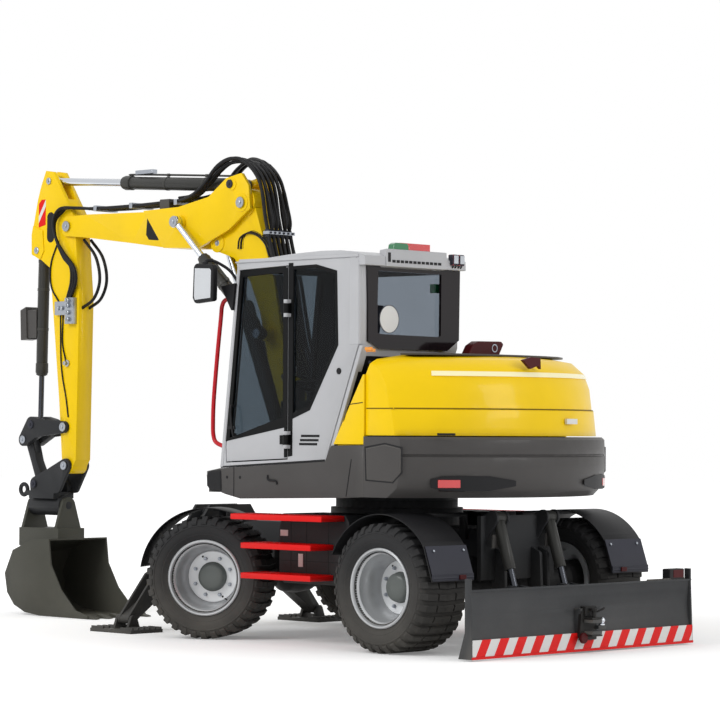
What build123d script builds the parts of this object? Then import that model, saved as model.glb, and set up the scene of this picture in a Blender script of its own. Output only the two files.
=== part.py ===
"""Wheeled excavator with a two-piece boom, a tilting bucket, a rear blade and front outriggers.

Millimetres. +X is forward (towards the boom), +Y is left (the cab side), +Z is up.
The origin is on the ground under the swing axis.
"""
from build123d import *
from math import cos, hypot, radians, sin, sqrt
import os

os.makedirs("parts", exist_ok=True)

# ---------------------------------------------------------------- clearances
FIT = 0.3                    # radial play of a pin or shaft in its bore, and of faces that slide
GAP = 5.0                    # play between pieces that pass each other
SIDES = (("left", 1), ("right", -1))

# ---------------------------------------------------------------- wheels and axles
TYRE_R = 479.0
TYRE_W = 500.0
TRACK = 2046.0               # between the middle planes of the left and right tyres
REAR_AXLE_X = -1000.0
FRONT_AXLE_X = 1140.0
STEER = 30.0                 # angle of the front wheels to the left as it is parked
KING_OFFSET = 180.0          # from the kingpin out to the middle plane of the tyre
KING_R = 22.0                # kingpin radius
LUGS = 34                    # round a tyre
LUG_SHARE = 0.6              # of the pitch that a lug takes
TREAD_R = 459.0              # bottom of the spaces between the lugs
SHOULDER_W = 42.0            # of the slope between the tread and the tyre's side
SIDE_R = 436.0               # outer radius of the tyre's side
HOLLOW_R = 401.0             # outer radius of the hollow in that side
BEAD_R = 262.0               # inner radius of the tyre
FLANGE_R = 294.0             # outer radius of the rim's edge
RIM_HALF = 225.0             # half the width of the rim
BEAD_HALF = 213.0            # half the width of the tyre at its beads
RIM_WALL = 12.0
DISC_OUT = -40.0             # inner face of the rim's disc, from the tyre's middle plane
DISC_T = 18.0
HUB_FLANGE_R = 202.0
HUB_CAP_R = 109.0
DRUM_R = 150.0               # wheel end of the axle
SPINDLE_R = 62.0
BEAM_R = 85.0                # axle beam
DIFF_R = 165.0               # differential housing
YOKE_HALF = 100.0            # half the height of the axle's end at the kingpin
YOKE_ARM = 35.0              # thickness of the knuckle's arms
FENDER_R = 545.0
FENDER_T = 6.0
FENDER_W = 350.0

# ---------------------------------------------------------------- chassis
FRAME_HALF = 310.0
FRAME_TOP = 900.0
FRAME_REAR = -1260.0
FRAME_FRONT = 1850.0
RING_R = 480.0
RING_TOP = 1095.0
STEP_BOX_FACE = 980.0        # outer face of the step boxes
STEP_DEPTH = 250.0
STEP_T = 42.0

# ---------------------------------------------------------------- blade
BLADE_HALF = 1275.0
BLADE_X = -1930.0
BLADE_LOW = 12.0
BLADE_TOP = 503.0
BLADE_T = 14.0
BLADE_PIVOT = (-1300.0, 420.0)
BLADE_CYL_TOP = (-1315.0, 985.0)
BLADE_CYL_PIN = (-1490.0, 440.0)
BLADE_CYL_Y = 290.0

# ---------------------------------------------------------------- outriggers (y, z) of the left one
LEG_X = 2000.0
LEG_PIVOT = (380.0, 620.0)
LEG_CYL_TOP = (150.0, 950.0)
LEG_CYL_PIN = (780.0, 420.0)
LEG_FOOT = (1060.0, 100.0)
LEG_HALF = 65.0              # half the thickness of a leg, along X
LEG_PLATE = 22.0
CARRIER_T = 25.0
PAD_L = 500.0
PAD_W = 340.0

# ---------------------------------------------------------------- upper machine
BODY_HALF = 1170.0
BODY_FRONT = 936.0
TAIL_R = 1630.0
HOOD_R = TAIL_R - 70
HOOD_T = 28.0
HOOD_HALF = BODY_HALF - 20
SEAM_X = -760.0              # front edge of the hood on the machine's sides
HOOD_HINGE = (-815.0, 2110.0)   # (x, z)
HOOD_HINGE_Y = 600.0
HOOD_GAP = 8.0               # between the hood's lower edge and the counterweight
BULKHEAD_X = -632.0
HOOD_PIN_R = 9.0
DECK_LOW = 1150.0
DECK_TOP = 1190.0
WEIGHT_LOW = 1140.0
WEIGHT_TOP = 1590.0
WEIGHT_WALL_X = 60 - sqrt(TAIL_R ** 2 - BODY_HALF ** 2)     # front face of its thick part
WEIGHT_SIDE = 85.0           # thickness of its side wings
SKIRT_T = 20.0
NOSE_IN = 135.0              # inner faces of the boom nose plates
NOSE_T = 30.0

# ---------------------------------------------------------------- cab
CAB_LEFT = BODY_HALF - 10
CAB_LOW = ((790.0, 1340.0), (-355.0, 1404.0))     # front and rear ends of its lower edge (x, z)
CAB_FLOOR = 1410.0           # underside of the flat floor inside
CAB_TOP = 2925.0
CAB_WALL = 42.0
DOOR_GAP = 10.0
GLASS_T = 6.0
GLASS_IN = 12.0              # depth of a pane behind the outer face of its wall
DOOR_HINGE = (40.0, CAB_LEFT + 30)   # (x, y)
DOOR_HINGES_Z = (1560.0, 2560.0)
ROOF_T = 55.0


def cab_bottom_z(x):
    """Height of the cab's lower edge at x."""
    (front_x, front_z), (rear_x, rear_z) = CAB_LOW
    return front_z + (front_x - x) / (front_x - rear_x) * (rear_z - front_z)


# ---------------------------------------------------------------- boom and arm pins (x, z)
BOOM_FOOT = (800.0, 1500.0)
LIFT_FOOT = (1120.0, 1180.0)
LIFT_PIN = (1966.0, 3192.0)
KNEE = (1630.0, 3510.0)
ADJUST_BASE = (1330.0, 2420.0)
ADJUST_PIN = (2360.0, 3380.0)
ADJUST_Y = 222.0
ARM_PIVOT = (3900.0, 3420.0)
ARM_CYL_BASE = (1764.0, 3671.0)
ARM_CYL_PIN = (4191.0, 3838.0)
BUCKET_CYL_BASE = (4344.0, 3226.0)
ROCKER_PIN = (3938.0, 1653.0)
BUCKET_CYL_PIN = (4385.0, 1675.0)
LINK_TOP = (4495.0, 1540.0)
LINK_LOW = (4325.0, 1148.0)
ARM_END = (3912.0, 1314.0)
LOWER_HALF = 110.0           # half widths of the boom pieces
KNEE_HALF = 122.0
CHEEK_IN = 128.0
CHEEK_OUT = 160.0
UPPER_HALF = 115.0
ARM_HALF = 83.0
PIN_R = 28.0
EYE_R = 55.0
LIFT_BARREL_R = 68.0
ADJUST_BARREL_R = 48.0
ARM_BARREL_R = 56.0
BUCKET_BARREL_R = 50.0
TILT_Z = 960.0
TILT_X = (4020.0, 4440.0)
TILT_R = 90.0
BUCKET_HALF = 335.0
BUCKET_T = 14.0


# ---------------------------------------------------------------- shaping functions
def slab(outline, y_low, y_high, mode=Mode.ADD):
    """A plate across the machine: an (x, z) outline between two y planes."""
    with BuildSketch(Plane.XZ.offset(-y_high)) as profile:
        with BuildLine():
            Polyline(*outline, close=True)
        make_face()
    extrude(profile.sketch, amount=y_high - y_low, mode=mode)


def deck(outline, z_low, z_high, mode=Mode.ADD):
    """A flat plate: an (x, y) outline between two heights."""
    with BuildSketch(Plane.XY.offset(z_low)) as profile:
        with BuildLine():
            Polyline(*outline, close=True)
        make_face()
    extrude(profile.sketch, amount=z_high - z_low, mode=mode)


def frame_plate(outline, x_low, x_high, mode=Mode.ADD):
    """A plate along the machine: a (y, z) outline between two x planes."""
    with BuildSketch(Plane.YZ.offset(x_low)) as profile:
        with BuildLine():
            Polyline(*outline, close=True)
        make_face()
    extrude(profile.sketch, amount=x_high - x_low, mode=mode)


def block(x_span, y_span, z_span, mode=Mode.ADD):
    """A box between two corners."""
    middle = [(low + high) / 2 for low, high in (x_span, y_span, z_span)]
    size = [high - low for low, high in (x_span, y_span, z_span)]
    with Locations(tuple(middle)):
        Box(*size, mode=mode)


def pin(at, radius, y_low, y_high, mode=Mode.ADD):
    """A round bar across the machine at (x, z)."""
    with BuildSketch(Plane.XZ.offset(-y_high)) as profile:
        with Locations(at):
            Circle(radius)
    extrude(profile.sketch, amount=y_high - y_low, mode=mode)


def bar_x(at, radius, x_low, x_high, mode=Mode.ADD):
    """A round bar along the machine at (y, z)."""
    with BuildSketch(Plane.YZ.offset(x_low)) as profile:
        with Locations(at):
            Circle(radius)
    extrude(profile.sketch, amount=x_high - x_low, mode=mode)


def hull_plate(circles, y_low, y_high, mode=Mode.ADD):
    """A plate across the machine whose outline wraps circles (x, z, radius)."""
    with BuildSketch(Plane.XZ.offset(-y_high)) as profile:
        for x, z, radius in circles:
            with Locations((x, z)):
                Circle(radius)
        make_hull()
    extrude(profile.sketch, amount=y_high - y_low, mode=mode)


def direction(start, end):
    """Unit vector and length between two points in a plane."""
    run, rise = end[0] - start[0], end[1] - start[1]
    length = hypot(run, rise)
    return run / length, rise / length, length


def tube(origin, axis, side, radius, length, bore=0.0, start=0.0, mode=Mode.ADD):
    """A tube along an axis from a point, with an optional bore."""
    centre = Vector(*origin) + Vector(*axis) * start
    with BuildSketch(Plane(origin=centre, x_dir=side, z_dir=axis)) as profile:
        Circle(radius)
        if bore:
            Circle(bore, mode=Mode.SUBTRACT)
    extrude(profile.sketch, amount=length, mode=mode)


# ---------------------------------------------------------------- hydraulic cylinders
# In each: base and eye pins, middle y, barrel length from the base pin, barrel radius, rod radius,
# half width of the eyes. The rod carries a piston that slides in the barrel.
BARREL_WALL = 9.0
GLAND_L = 45.0
PISTON_L = 50.0
BARREL_START = 0.72          # of the eye's radius: where the barrel leaves its eye


def barrel_solid(base, tip, middle, length, radius, rod, eye_half, eye_r, plane="xz", x_at=0.0):
    """Barrel with its base eye, bored for the pin."""
    run, rise, _ = direction(base, tip)
    if plane == "xz":
        origin, axis, side = (base[0], middle, base[1]), (run, 0, rise), (0, 1, 0)
        pin(base, eye_r, middle - eye_half, middle + eye_half)
    else:
        origin, axis, side = (x_at, base[0], base[1]), (0, run, rise), (1, 0, 0)
        bar_x(base, eye_r, x_at - eye_half, x_at + eye_half)
    first = eye_r * BARREL_START
    tube(origin, axis, side, radius, length - first, start=first)
    bottom = eye_r + 2 * BARREL_WALL
    tube(origin, axis, side, radius - BARREL_WALL, length - bottom - GLAND_L, start=bottom,
         mode=Mode.SUBTRACT)
    tube(origin, axis, side, rod + FIT, GLAND_L + 2, start=length - GLAND_L - 1, mode=Mode.SUBTRACT)
    if plane == "xz":
        pin(base, PIN_R + FIT, middle - eye_half - 1, middle + eye_half + 1, mode=Mode.SUBTRACT)
    else:
        bar_x(base, PIN_R * 0.8 + FIT, x_at - eye_half - 1, x_at + eye_half + 1, mode=Mode.SUBTRACT)


def rod_solid(base, tip, middle, inner, radius, rod, eye_half, eye_r, plane="xz", x_at=0.0):
    """Rod with its piston and its eye; inner is where the piston starts from the base pin."""
    run, rise, length = direction(base, tip)
    if plane == "xz":
        origin, axis, side = (base[0], middle, base[1]), (run, 0, rise), (0, 1, 0)
        pin(tip, eye_r, middle - eye_half, middle + eye_half)
    else:
        origin, axis, side = (x_at, base[0], base[1]), (0, run, rise), (1, 0, 0)
        bar_x(tip, eye_r, x_at - eye_half, x_at + eye_half)
    tube(origin, axis, side, radius - BARREL_WALL - FIT, PISTON_L, start=inner)
    tube(origin, axis, side, rod, length - inner - eye_r * 0.5, start=inner)


# ================================================================ undercarriage
FRAME_SIDE = [
    (FRAME_REAR, 690), (-780, 690), (-680, 430), (820, 430), (920, 690), (FRAME_FRONT - 150, 690),
    (FRAME_FRONT, 560), (FRAME_FRONT, FRAME_TOP), (FRAME_REAR, FRAME_TOP),
]
CYL_LUG_T = 22.0
BLADE_CYL_R = 44.0
BLADE_EYE_HALF = BLADE_CYL_R + GAP + 1
with BuildPart() as chassis_frame:
    slab(FRAME_SIDE, -FRAME_HALF, FRAME_HALF)
    with BuildSketch(Plane.XY.offset(FRAME_TOP)):
        Circle(RING_R + 40)
    extrude(amount=RING_TOP - FRAME_TOP - 60)
    with BuildSketch(Plane.XY.offset(RING_TOP - 60)):
        Circle(RING_R)
        Circle(RING_R - 90, mode=Mode.SUBTRACT)
    extrude(amount=60)
    # rear end plate and the ears for the blade cylinders
    block((FRAME_REAR, FRAME_REAR + 40), (-420, 420), (520, 1000))
    for _, side in SIDES:
        for across in (-1, 1):
            inner = side * BLADE_CYL_Y + across * (BLADE_EYE_HALF + FIT + CYL_LUG_T / 2)
            low, high = inner - CYL_LUG_T / 2, inner + CYL_LUG_T / 2
            hull_plate([(*BLADE_CYL_TOP, 55), (FRAME_REAR + 30, 940, 55), (FRAME_REAR + 20, 830, 20)],
                       low, high)
        # hinge of the blade arm under the rear end of the frame
        for low, high in ((150, 178), (232, 260)):
            near, far = sorted((side * low, side * high))
            hull_plate([(*BLADE_PIVOT, 60), (BLADE_PIVOT[0] + 60, 700, 60),
                        (BLADE_PIVOT[0] - 20, 700, 30)], near, far)
        near, far = sorted((side * 150, side * 260))
        pin(BLADE_PIVOT, PIN_R, near, far)
        near = side * BLADE_CYL_Y - BLADE_EYE_HALF - CYL_LUG_T
        far = side * BLADE_CYL_Y + BLADE_EYE_HALF + CYL_LUG_T
        pin(BLADE_CYL_TOP, PIN_R, near, far)
    # outrigger carrier: two plates across the front with the legs between them
    carrier = [(-470, 540), (-470, 690), (-230, 1015), (230, 1015), (470, 690), (470, 540)]
    for x_low in (LEG_X - LEG_HALF - GAP - CARRIER_T, LEG_X + LEG_HALF + GAP):
        frame_plate(carrier, x_low, x_low + CARRIER_T)
    block((FRAME_FRONT - 5, LEG_X + LEG_HALF + GAP + 5), (-70, 70), (560, 860))
    block((FRAME_FRONT - 5, LEG_X - LEG_HALF - GAP - 5), (-FRAME_HALF, FRAME_HALF), (560, FRAME_TOP))
    for _, side in SIDES:
        for at in (LEG_PIVOT, LEG_CYL_TOP):
            bar_x((side * at[0], at[1]), PIN_R * 0.8, LEG_X - LEG_HALF - GAP - 2, LEG_X + LEG_HALF + GAP + 2)
chassis_frame.part.label = "chassis_frame"
export_step(chassis_frame.part, "parts/chassis_frame.step")

# ---------------------------------------------------------------- axles
DRUM_END = TRACK / 2 + DISC_OUT - GAP       # outer face of the axle's wheel end
SPINDLE_END = TRACK / 2 + 15
KING_Y = TRACK / 2 - KING_OFFSET
with BuildPart() as rear_axle:
    with BuildSketch(Plane(origin=(REAR_AXLE_X, 0, TYRE_R), x_dir=(0, 1, 0), z_dir=(1, 0, 0))):
        with BuildLine():
            Polyline((0, 0), (0, DIFF_R), (130, DIFF_R - 15), (220, BEAM_R), (700, BEAM_R), (780, DRUM_R),
                     (DRUM_END, DRUM_R), (DRUM_END, SPINDLE_R - FIT), (SPINDLE_END, SPINDLE_R - FIT),
                     (SPINDLE_END, 0), close=True)
        make_face()
    revolve(axis=Axis((REAR_AXLE_X, 0, TYRE_R), (0, 1, 0)))
    mirror(about=Plane.XZ)
    for _, side in SIDES:
        near, far = sorted((side * 200, side * (FRAME_HALF - 10)))
        block((REAR_AXLE_X - 70, REAR_AXLE_X + 70), (near, far), (TYRE_R + 40, 690))
rear_axle.part.label = "rear_axle"
export_step(rear_axle.part, "parts/rear_axle.step")

with BuildPart() as front_axle:
    with BuildSketch(Plane(origin=(FRONT_AXLE_X, 0, TYRE_R), x_dir=(0, 1, 0), z_dir=(1, 0, 0))):
        with BuildLine():
            Polyline((0, 0), (0, DIFF_R), (130, DIFF_R - 15), (220, BEAM_R), (KING_Y - 45, BEAM_R - 20),
                     (KING_Y - 45, 0), close=True)
        make_face()
    revolve(axis=Axis((FRONT_AXLE_X, 0, TYRE_R), (0, 1, 0)))
    mirror(about=Plane.XZ)
    for _, side in SIDES:
        with BuildSketch(Plane.XY.offset(TYRE_R - YOKE_HALF)):
            with Locations((FRONT_AXLE_X, side * KING_Y)):
                Circle(60)
        extrude(amount=2 * YOKE_HALF)
        near, far = sorted((side * 200, side * (FRAME_HALF - 10)))
        block((FRONT_AXLE_X - 70, FRONT_AXLE_X + 70), (near, far), (TYRE_R + 40, 690))
    for _, side in SIDES:
        for z_low in (TYRE_R - YOKE_HALF - 1, TYRE_R + YOKE_HALF - 60):
            with BuildSketch(Plane.XY.offset(z_low)):
                with Locations((FRONT_AXLE_X, side * KING_Y)):
                    Circle(KING_R + FIT)
            extrude(amount=61, mode=Mode.SUBTRACT)
front_axle.part.label = "front_axle"
export_step(front_axle.part, "parts/front_axle.step")


# ---------------------------------------------------------------- wheels
def wheel_frame(x, side, angle):
    """Middle of a wheel and its outward direction."""
    outward = Vector(-sin(radians(angle)), cos(radians(angle)), 0) * side
    if x == FRONT_AXLE_X:
        centre = Vector(x, side * KING_Y, TYRE_R) + outward * KING_OFFSET
    else:
        centre = Vector(x, side * TRACK / 2, TYRE_R)
    return centre, outward


def spin_profile(centre, outward, profile):
    """A solid of revolution about a wheel's axle from (outward, radius) points."""
    with BuildSketch(Plane(origin=centre, x_dir=outward, z_dir=outward.cross(Vector(0, 0, 1)))) as section:
        with BuildLine():
            Polyline(*profile, close=True)
        make_face()
    revolve(section.sketch, axis=Axis(centre, outward))


# wheel, axle position, side, steering angle
WHEELS = [
    ("rear_left", REAR_AXLE_X, 1, 0.0),
    ("rear_right", REAR_AXLE_X, -1, 0.0),
    ("front_left", FRONT_AXLE_X, 1, STEER),
    ("front_right", FRONT_AXLE_X, -1, STEER),
]
HALF = TYRE_W / 2
PITCH = 360.0 / LUGS
FLAT = cos(radians(PITCH / 2))              # of a flat ring's corners: middle of a side over the corner
FAR = TYRE_R + 20


def flat_sided(outline):
    """A body about Z with one flat side per lug, each of the outline (radius, out)."""
    across_all = [(-FAR, outline[0][1])] + outline + [(-FAR, outline[-1][1])]
    with BuildPart() as body:
        for lug in range(LUGS):
            across = Vector(1, 0, 0).rotate(Axis.Z, lug * PITCH)
            plane = Plane(origin=(0, 0, 0), x_dir=across, z_dir=across.cross(Vector(0, 0, 1)))
            with BuildSketch(plane) as profile:
                with BuildLine():
                    Polyline(*across_all, close=True)
                make_face()
            extrude(profile.sketch, amount=FAR, both=True, mode=Mode.INTERSECT if lug else Mode.ADD)
    return body.part


def lug_ring():
    """Outline of the tread: a lug and the space beside it, all the way round."""
    outline = []
    for lug in range(LUGS):
        middle, reach = radians(lug * PITCH), radians(PITCH * LUG_SHARE / 2)
        tip, root = TYRE_R / cos(reach), TREAD_R / cos(radians(PITCH / 2) - reach)
        for radius, turn in ((root, -reach), (tip, -reach), (tip, reach), (root, reach)):
            outline.append((radius * cos(middle + turn), radius * sin(middle + turn)))
    return outline


SLOPE_R = TYRE_R + 4
envelope = flat_sided([
    (SIDE_R, -HALF), (SLOPE_R, SHOULDER_W - HALF), (SLOPE_R, HALF - SHOULDER_W), (SIDE_R, HALF)])
hollows = [flat_sided([(FLANGE_R + 6, face * BEAD_HALF), (HOLLOW_R, face * (HALF + 1))]) for face in (1, -1)]
with BuildPart() as round_tyre:
    with BuildSketch(Plane.XY.offset(-HALF)):
        with BuildLine():
            Polyline(*lug_ring(), close=True)
        make_face()
    extrude(amount=TYRE_W)
    add(envelope, mode=Mode.INTERSECT)
    for hollow in hollows:
        add(hollow, mode=Mode.SUBTRACT)
    with BuildSketch(Plane.XY.offset(-HALF)):
        RegularPolygon(BEAD_R / FLAT, LUGS, rotation=PITCH / 2)
    extrude(amount=TYRE_W, mode=Mode.SUBTRACT)
RIM_IN = BEAD_R - FIT - RIM_WALL
DISC_FACE = DISC_OUT + DISC_T
RIM_PROFILE = [
    (-RIM_HALF, RIM_IN), (-RIM_HALF, FLANGE_R), (-BEAD_HALF - FIT, FLANGE_R),
    (-BEAD_HALF - FIT, BEAD_R - FIT), (BEAD_HALF + FIT, BEAD_R - FIT), (BEAD_HALF + FIT, FLANGE_R),
    (RIM_HALF, FLANGE_R), (RIM_HALF, RIM_IN + 4),
    (110, RIM_IN), (95, RIM_IN - 14), (DISC_FACE + 25, RIM_IN - 18), (DISC_FACE, HUB_FLANGE_R + 6),
    (DISC_FACE, HUB_FLANGE_R), (DISC_FACE + 14, HUB_FLANGE_R - 4), (DISC_FACE + 14, HUB_CAP_R + 12),
    (DISC_FACE + 20, HUB_CAP_R), (DISC_FACE + 62, HUB_CAP_R - 6), (DISC_FACE + 80, HUB_CAP_R - 34),
    (DISC_FACE + 80, 0), (20, 0), (20, SPINDLE_R), (DISC_OUT, SPINDLE_R), (DISC_OUT, RIM_IN - 12),
    (DISC_OUT - 30, RIM_IN),
]
for name, axle_x, side, angle in WHEELS:
    centre, outward = wheel_frame(axle_x, side, angle)
    with BuildPart() as tyre:
        # a lug points straight down
        with Locations(Plane(origin=centre, x_dir=(0, 0, -1), z_dir=outward).location):
            add(round_tyre.part)
    tyre.part.label = f"tyre_{name}"
    export_step(tyre.part, f"parts/tyre_{name}.step")
    with BuildPart() as rim:
        spin_profile(centre, outward, RIM_PROFILE)
    rim.part.label = f"rim_{name}"
    export_step(rim.part, f"parts/rim_{name}.step")

# ---------------------------------------------------------------- steering knuckles and their fenders
ARM_LOW = YOKE_HALF + GAP                   # inner face of a knuckle arm, from the axle's height
WEB_IN = 68.0
DRUM_IN = 82.0
DRUM_OUT = KING_OFFSET + DISC_OUT - GAP
BRACKET_OUT = -100.0                        # the fender's bracket, inboard of the tyre
BRACKET_HALF = 32.0
for name, side in SIDES:
    outward = Vector(-sin(radians(STEER)), cos(radians(STEER)), 0) * side
    king = Vector(FRONT_AXLE_X, side * KING_Y, TYRE_R)
    flat = Plane(origin=king, x_dir=outward, z_dir=(0, 0, 1))
    upright = Plane(origin=king, x_dir=outward, z_dir=outward.cross(Vector(0, 0, 1)))
    with BuildPart() as knuckle:
        for z_low in (ARM_LOW, -ARM_LOW - YOKE_ARM):
            with BuildSketch(flat.offset(z_low)):
                Circle(58)
                with Locations(((WEB_IN + 10) / 2, 0)):
                    Rectangle(WEB_IN + 10, 116)
            extrude(amount=YOKE_ARM)
        with BuildSketch(flat.offset(-ARM_LOW - YOKE_ARM)):
            with Locations(((WEB_IN + DRUM_IN) / 2, 0)):
                Rectangle(DRUM_IN - WEB_IN + 2, 116)
        extrude(amount=2 * (ARM_LOW + YOKE_ARM))
        for z_low in (YOKE_HALF - 58, -ARM_LOW - 2):
            with BuildSketch(flat.offset(z_low)):
                Circle(KING_R)
            extrude(amount=ARM_LOW + 2 - YOKE_HALF + 58)
        tube(king, outward, (0, 0, 1), DRUM_R, DRUM_OUT - DRUM_IN, start=DRUM_IN)
        tube(king, outward, (0, 0, 1), SPINDLE_R - FIT, KING_OFFSET + 15 - DRUM_IN, start=DRUM_IN)
        # bracket that carries the fender, over the top of the axle and up inside the tyre
        with BuildSketch(upright.offset(-BRACKET_HALF)):
            with BuildLine():
                top = sqrt((FENDER_R - FENDER_T - FIT) ** 2 - BRACKET_HALF ** 2)
                Polyline((-58, ARM_LOW + 2), (0, ARM_LOW + 2), (0, ARM_LOW + YOKE_ARM + 14),
                         (BRACKET_OUT + 14, ARM_LOW + YOKE_ARM + 14), (BRACKET_OUT + 14, top - 22),
                         (60, top - 22), (60, top), (BRACKET_OUT, top),
                         (BRACKET_OUT, ARM_LOW + YOKE_ARM), (-58, ARM_LOW + YOKE_ARM), close=True)
            make_face()
        extrude(amount=2 * BRACKET_HALF)
    knuckle.part.label = f"knuckle_{name}"
    export_step(knuckle.part, f"parts/knuckle_{name}.step")

    rolling = Vector(cos(radians(STEER)), sin(radians(STEER)), 0)
    wheel_side = Plane(origin=king, x_dir=rolling, z_dir=rolling.cross(Vector(0, 0, 1)))
    away = 1 if wheel_side.z_dir.dot(outward) > 0 else -1
    with BuildPart() as fender:
        with BuildSketch(wheel_side.offset(away * KING_OFFSET - FENDER_W / 2)):
            Circle(FENDER_R)
            Circle(FENDER_R - FENDER_T, mode=Mode.SUBTRACT)
            with BuildLine():
                Polyline((0, 0), (900, 125), (900, 900), (-640, 900), close=True)
            make_face(mode=Mode.INTERSECT)
        extrude(amount=FENDER_W)
    fender.part.label = f"front_fender_{name}"
    export_step(fender.part, f"parts/front_fender_{name}.step")

# ---------------------------------------------------------------- rear fenders with their flaps
with BuildPart() as rear_fenders:
    for _, side in SIDES:
        near, far = sorted((side * (TRACK / 2 - 220), side * (TRACK / 2 + 220)))
        with BuildSketch(Plane(origin=(REAR_AXLE_X, far, TYRE_R), x_dir=(1, 0, 0), z_dir=(0, -1, 0))):
            Circle(FENDER_R)
            Circle(FENDER_R - FENDER_T, mode=Mode.SUBTRACT)
            with BuildLine():
                Polyline((0, 0), (900, 420), (900, 900), (-900, 900), (-900, 700), close=True)
            make_face(mode=Mode.INTERSECT)
        extrude(amount=far - near)
        slab([(-1408, 832), (-1412, 836), (-1445, 796), (-1530, 545), (-1520, 541), (-1436, 789)], near, far)
        reach, wall = sorted((side * FRAME_HALF, side * (FRAME_HALF + 30)))
        block((REAR_AXLE_X - 30, REAR_AXLE_X + 30), (reach, wall), (820, TYRE_R + FENDER_R - 4))
        reach, wall = sorted((side * FRAME_HALF, side * TRACK / 2))
        arch_top = TYRE_R + FENDER_R
        block((REAR_AXLE_X - 30, REAR_AXLE_X + 30), (reach, wall), (arch_top - 34, arch_top - 4))
rear_fenders.part.label = "rear_fenders"
export_step(rear_fenders.part, "parts/rear_fenders.step")

# ---------------------------------------------------------------- step boxes and step treads
with BuildPart() as step_boxes:
    for _, side in SIDES:
        near, far = sorted((side * (RING_R + 60), side * STEP_BOX_FACE))
        slab([(-430, 560), (-380, 462), (270, 462), (320, 520), (320, 880), (280, 995), (-390, 995),
              (-430, 940)], near, far)
        near, far = sorted((side * FRAME_HALF, side * (RING_R + 61)))
        slab([(-430, 560), (-380, 462), (270, 462), (320, 520), (320, 860), (-430, 860)], near, far)
step_boxes.part.label = "step_boxes"
export_step(step_boxes.part, "parts/step_boxes.step")

# front end, rear end, height of the tread's middle
TREADS = [(606, -384, 968), (490, -270, 748), (490, -270, 518)]
with BuildPart() as steps:
    for _, side in SIDES:
        near, far = sorted((side * STEP_BOX_FACE, side * (STEP_BOX_FACE + STEP_DEPTH)))
        for front, rear, height in TREADS:
            block((rear, front), (near, far), (height - STEP_T / 2, height + STEP_T / 2))
steps.part.label = "steps"
export_step(steps.part, "parts/steps.step")

# ================================================================ blade
with BuildPart() as blade:
    # curved board, hollow towards the rear
    bow = 30.0
    with BuildSketch(Plane.XZ.offset(-BLADE_HALF)):
        with BuildLine():
            ThreePointArc((BLADE_X, BLADE_LOW + 90), (BLADE_X + bow, (BLADE_LOW + BLADE_TOP) / 2 + 40),
                          (BLADE_X + 12, BLADE_TOP))
            Line((BLADE_X + 12, BLADE_TOP), (BLADE_X + 12 + BLADE_T, BLADE_TOP))
            ThreePointArc((BLADE_X + 12 + BLADE_T, BLADE_TOP),
                          (BLADE_X + bow + BLADE_T, (BLADE_LOW + BLADE_TOP) / 2 + 40),
                          (BLADE_X + BLADE_T, BLADE_LOW + 90))
            Line((BLADE_X + BLADE_T, BLADE_LOW + 90), (BLADE_X, BLADE_LOW + 90))
        make_face()
    extrude(amount=2 * BLADE_HALF)
    # cutting edge, top lip, end plates
    slab([(BLADE_X - 10, BLADE_LOW), (BLADE_X + 8, BLADE_LOW), (BLADE_X + 18, BLADE_LOW + 130),
          (BLADE_X - 8, BLADE_LOW + 130)], -BLADE_HALF, BLADE_HALF)
    block((BLADE_X + 4, BLADE_X + 60), (-BLADE_HALF, BLADE_HALF), (BLADE_TOP - 12, BLADE_TOP))
    for _, side in SIDES:
        near, far = sorted((side * (BLADE_HALF - 16), side * BLADE_HALF))
        slab([(BLADE_X - 10, BLADE_LOW), (BLADE_X + 120, BLADE_LOW), (BLADE_X + 60, 200),
              (BLADE_X + 60, BLADE_TOP + 80), (BLADE_X + 8, BLADE_TOP + 80), (BLADE_X + 8, BLADE_TOP)],
             near, far)
        # push arms from the board to the frame's hinges
        near, far = sorted((side * (178 + GAP), side * (232 - GAP)))
        hull_plate([(*BLADE_PIVOT, 52), (BLADE_X + 140, 300, 70)], near, far)
        hull_plate([(BLADE_X + 140, 300, 70), (BLADE_X + 60, 330, 30), (BLADE_X + 60, 150, 30)], near, far)
        pin(BLADE_PIVOT, PIN_R + FIT, near - 1, far + 1, mode=Mode.SUBTRACT)
        # ears for the cylinder's rod eye
        for across in (-1, 1):
            inner = side * BLADE_CYL_Y + across * (BLADE_EYE_HALF + FIT + CYL_LUG_T / 2)
            low, high = inner - CYL_LUG_T / 2, inner + CYL_LUG_T / 2
            hull_plate([(*BLADE_CYL_PIN, 48), (BLADE_X + 90, 400, 40), (BLADE_X + 60, 180, 30)], low, high)
        near, far = sorted((side * (178 + GAP), side * (BLADE_CYL_Y + BLADE_EYE_HALF + CYL_LUG_T)))
        block((BLADE_X + 44, BLADE_X + 120), (near, far), (180, 420))
    # cross tube between the arms
    pin((BLADE_X + 160, 300), 45, -232 + GAP, 232 - GAP)
    # hitch: a bracket with a jaw and a tow ball
    block((BLADE_X - 30, BLADE_X + 30), (-75, 100), (95, 330))
    block((BLADE_X - 120, BLADE_X - 20), (-40, 66), (225, 250))
    block((BLADE_X - 120, BLADE_X - 20), (-40, 66), (140, 165))
    with BuildSketch(Plane.XY.offset(139)):
        with Locations((BLADE_X - 85, 13)):
            Circle(16)
    extrude(amount=112, mode=Mode.SUBTRACT)
    block((BLADE_X - 70, BLADE_X - 20), (-150, -60), (175, 200))
    with BuildSketch(Plane.XY.offset(200)):
        with Locations((BLADE_X - 45, -127)):
            Circle(16)
    extrude(amount=20)
    with Locations((BLADE_X - 45, -127, 235)):
        Sphere(25)
    # lamp box on the right end
    block((BLADE_X + 12, BLADE_X + 80), (-1189, -1015), (BLADE_TOP - 2, BLADE_TOP + 80))
blade.part.label = "blade"
export_step(blade.part, "parts/blade.step")

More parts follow.
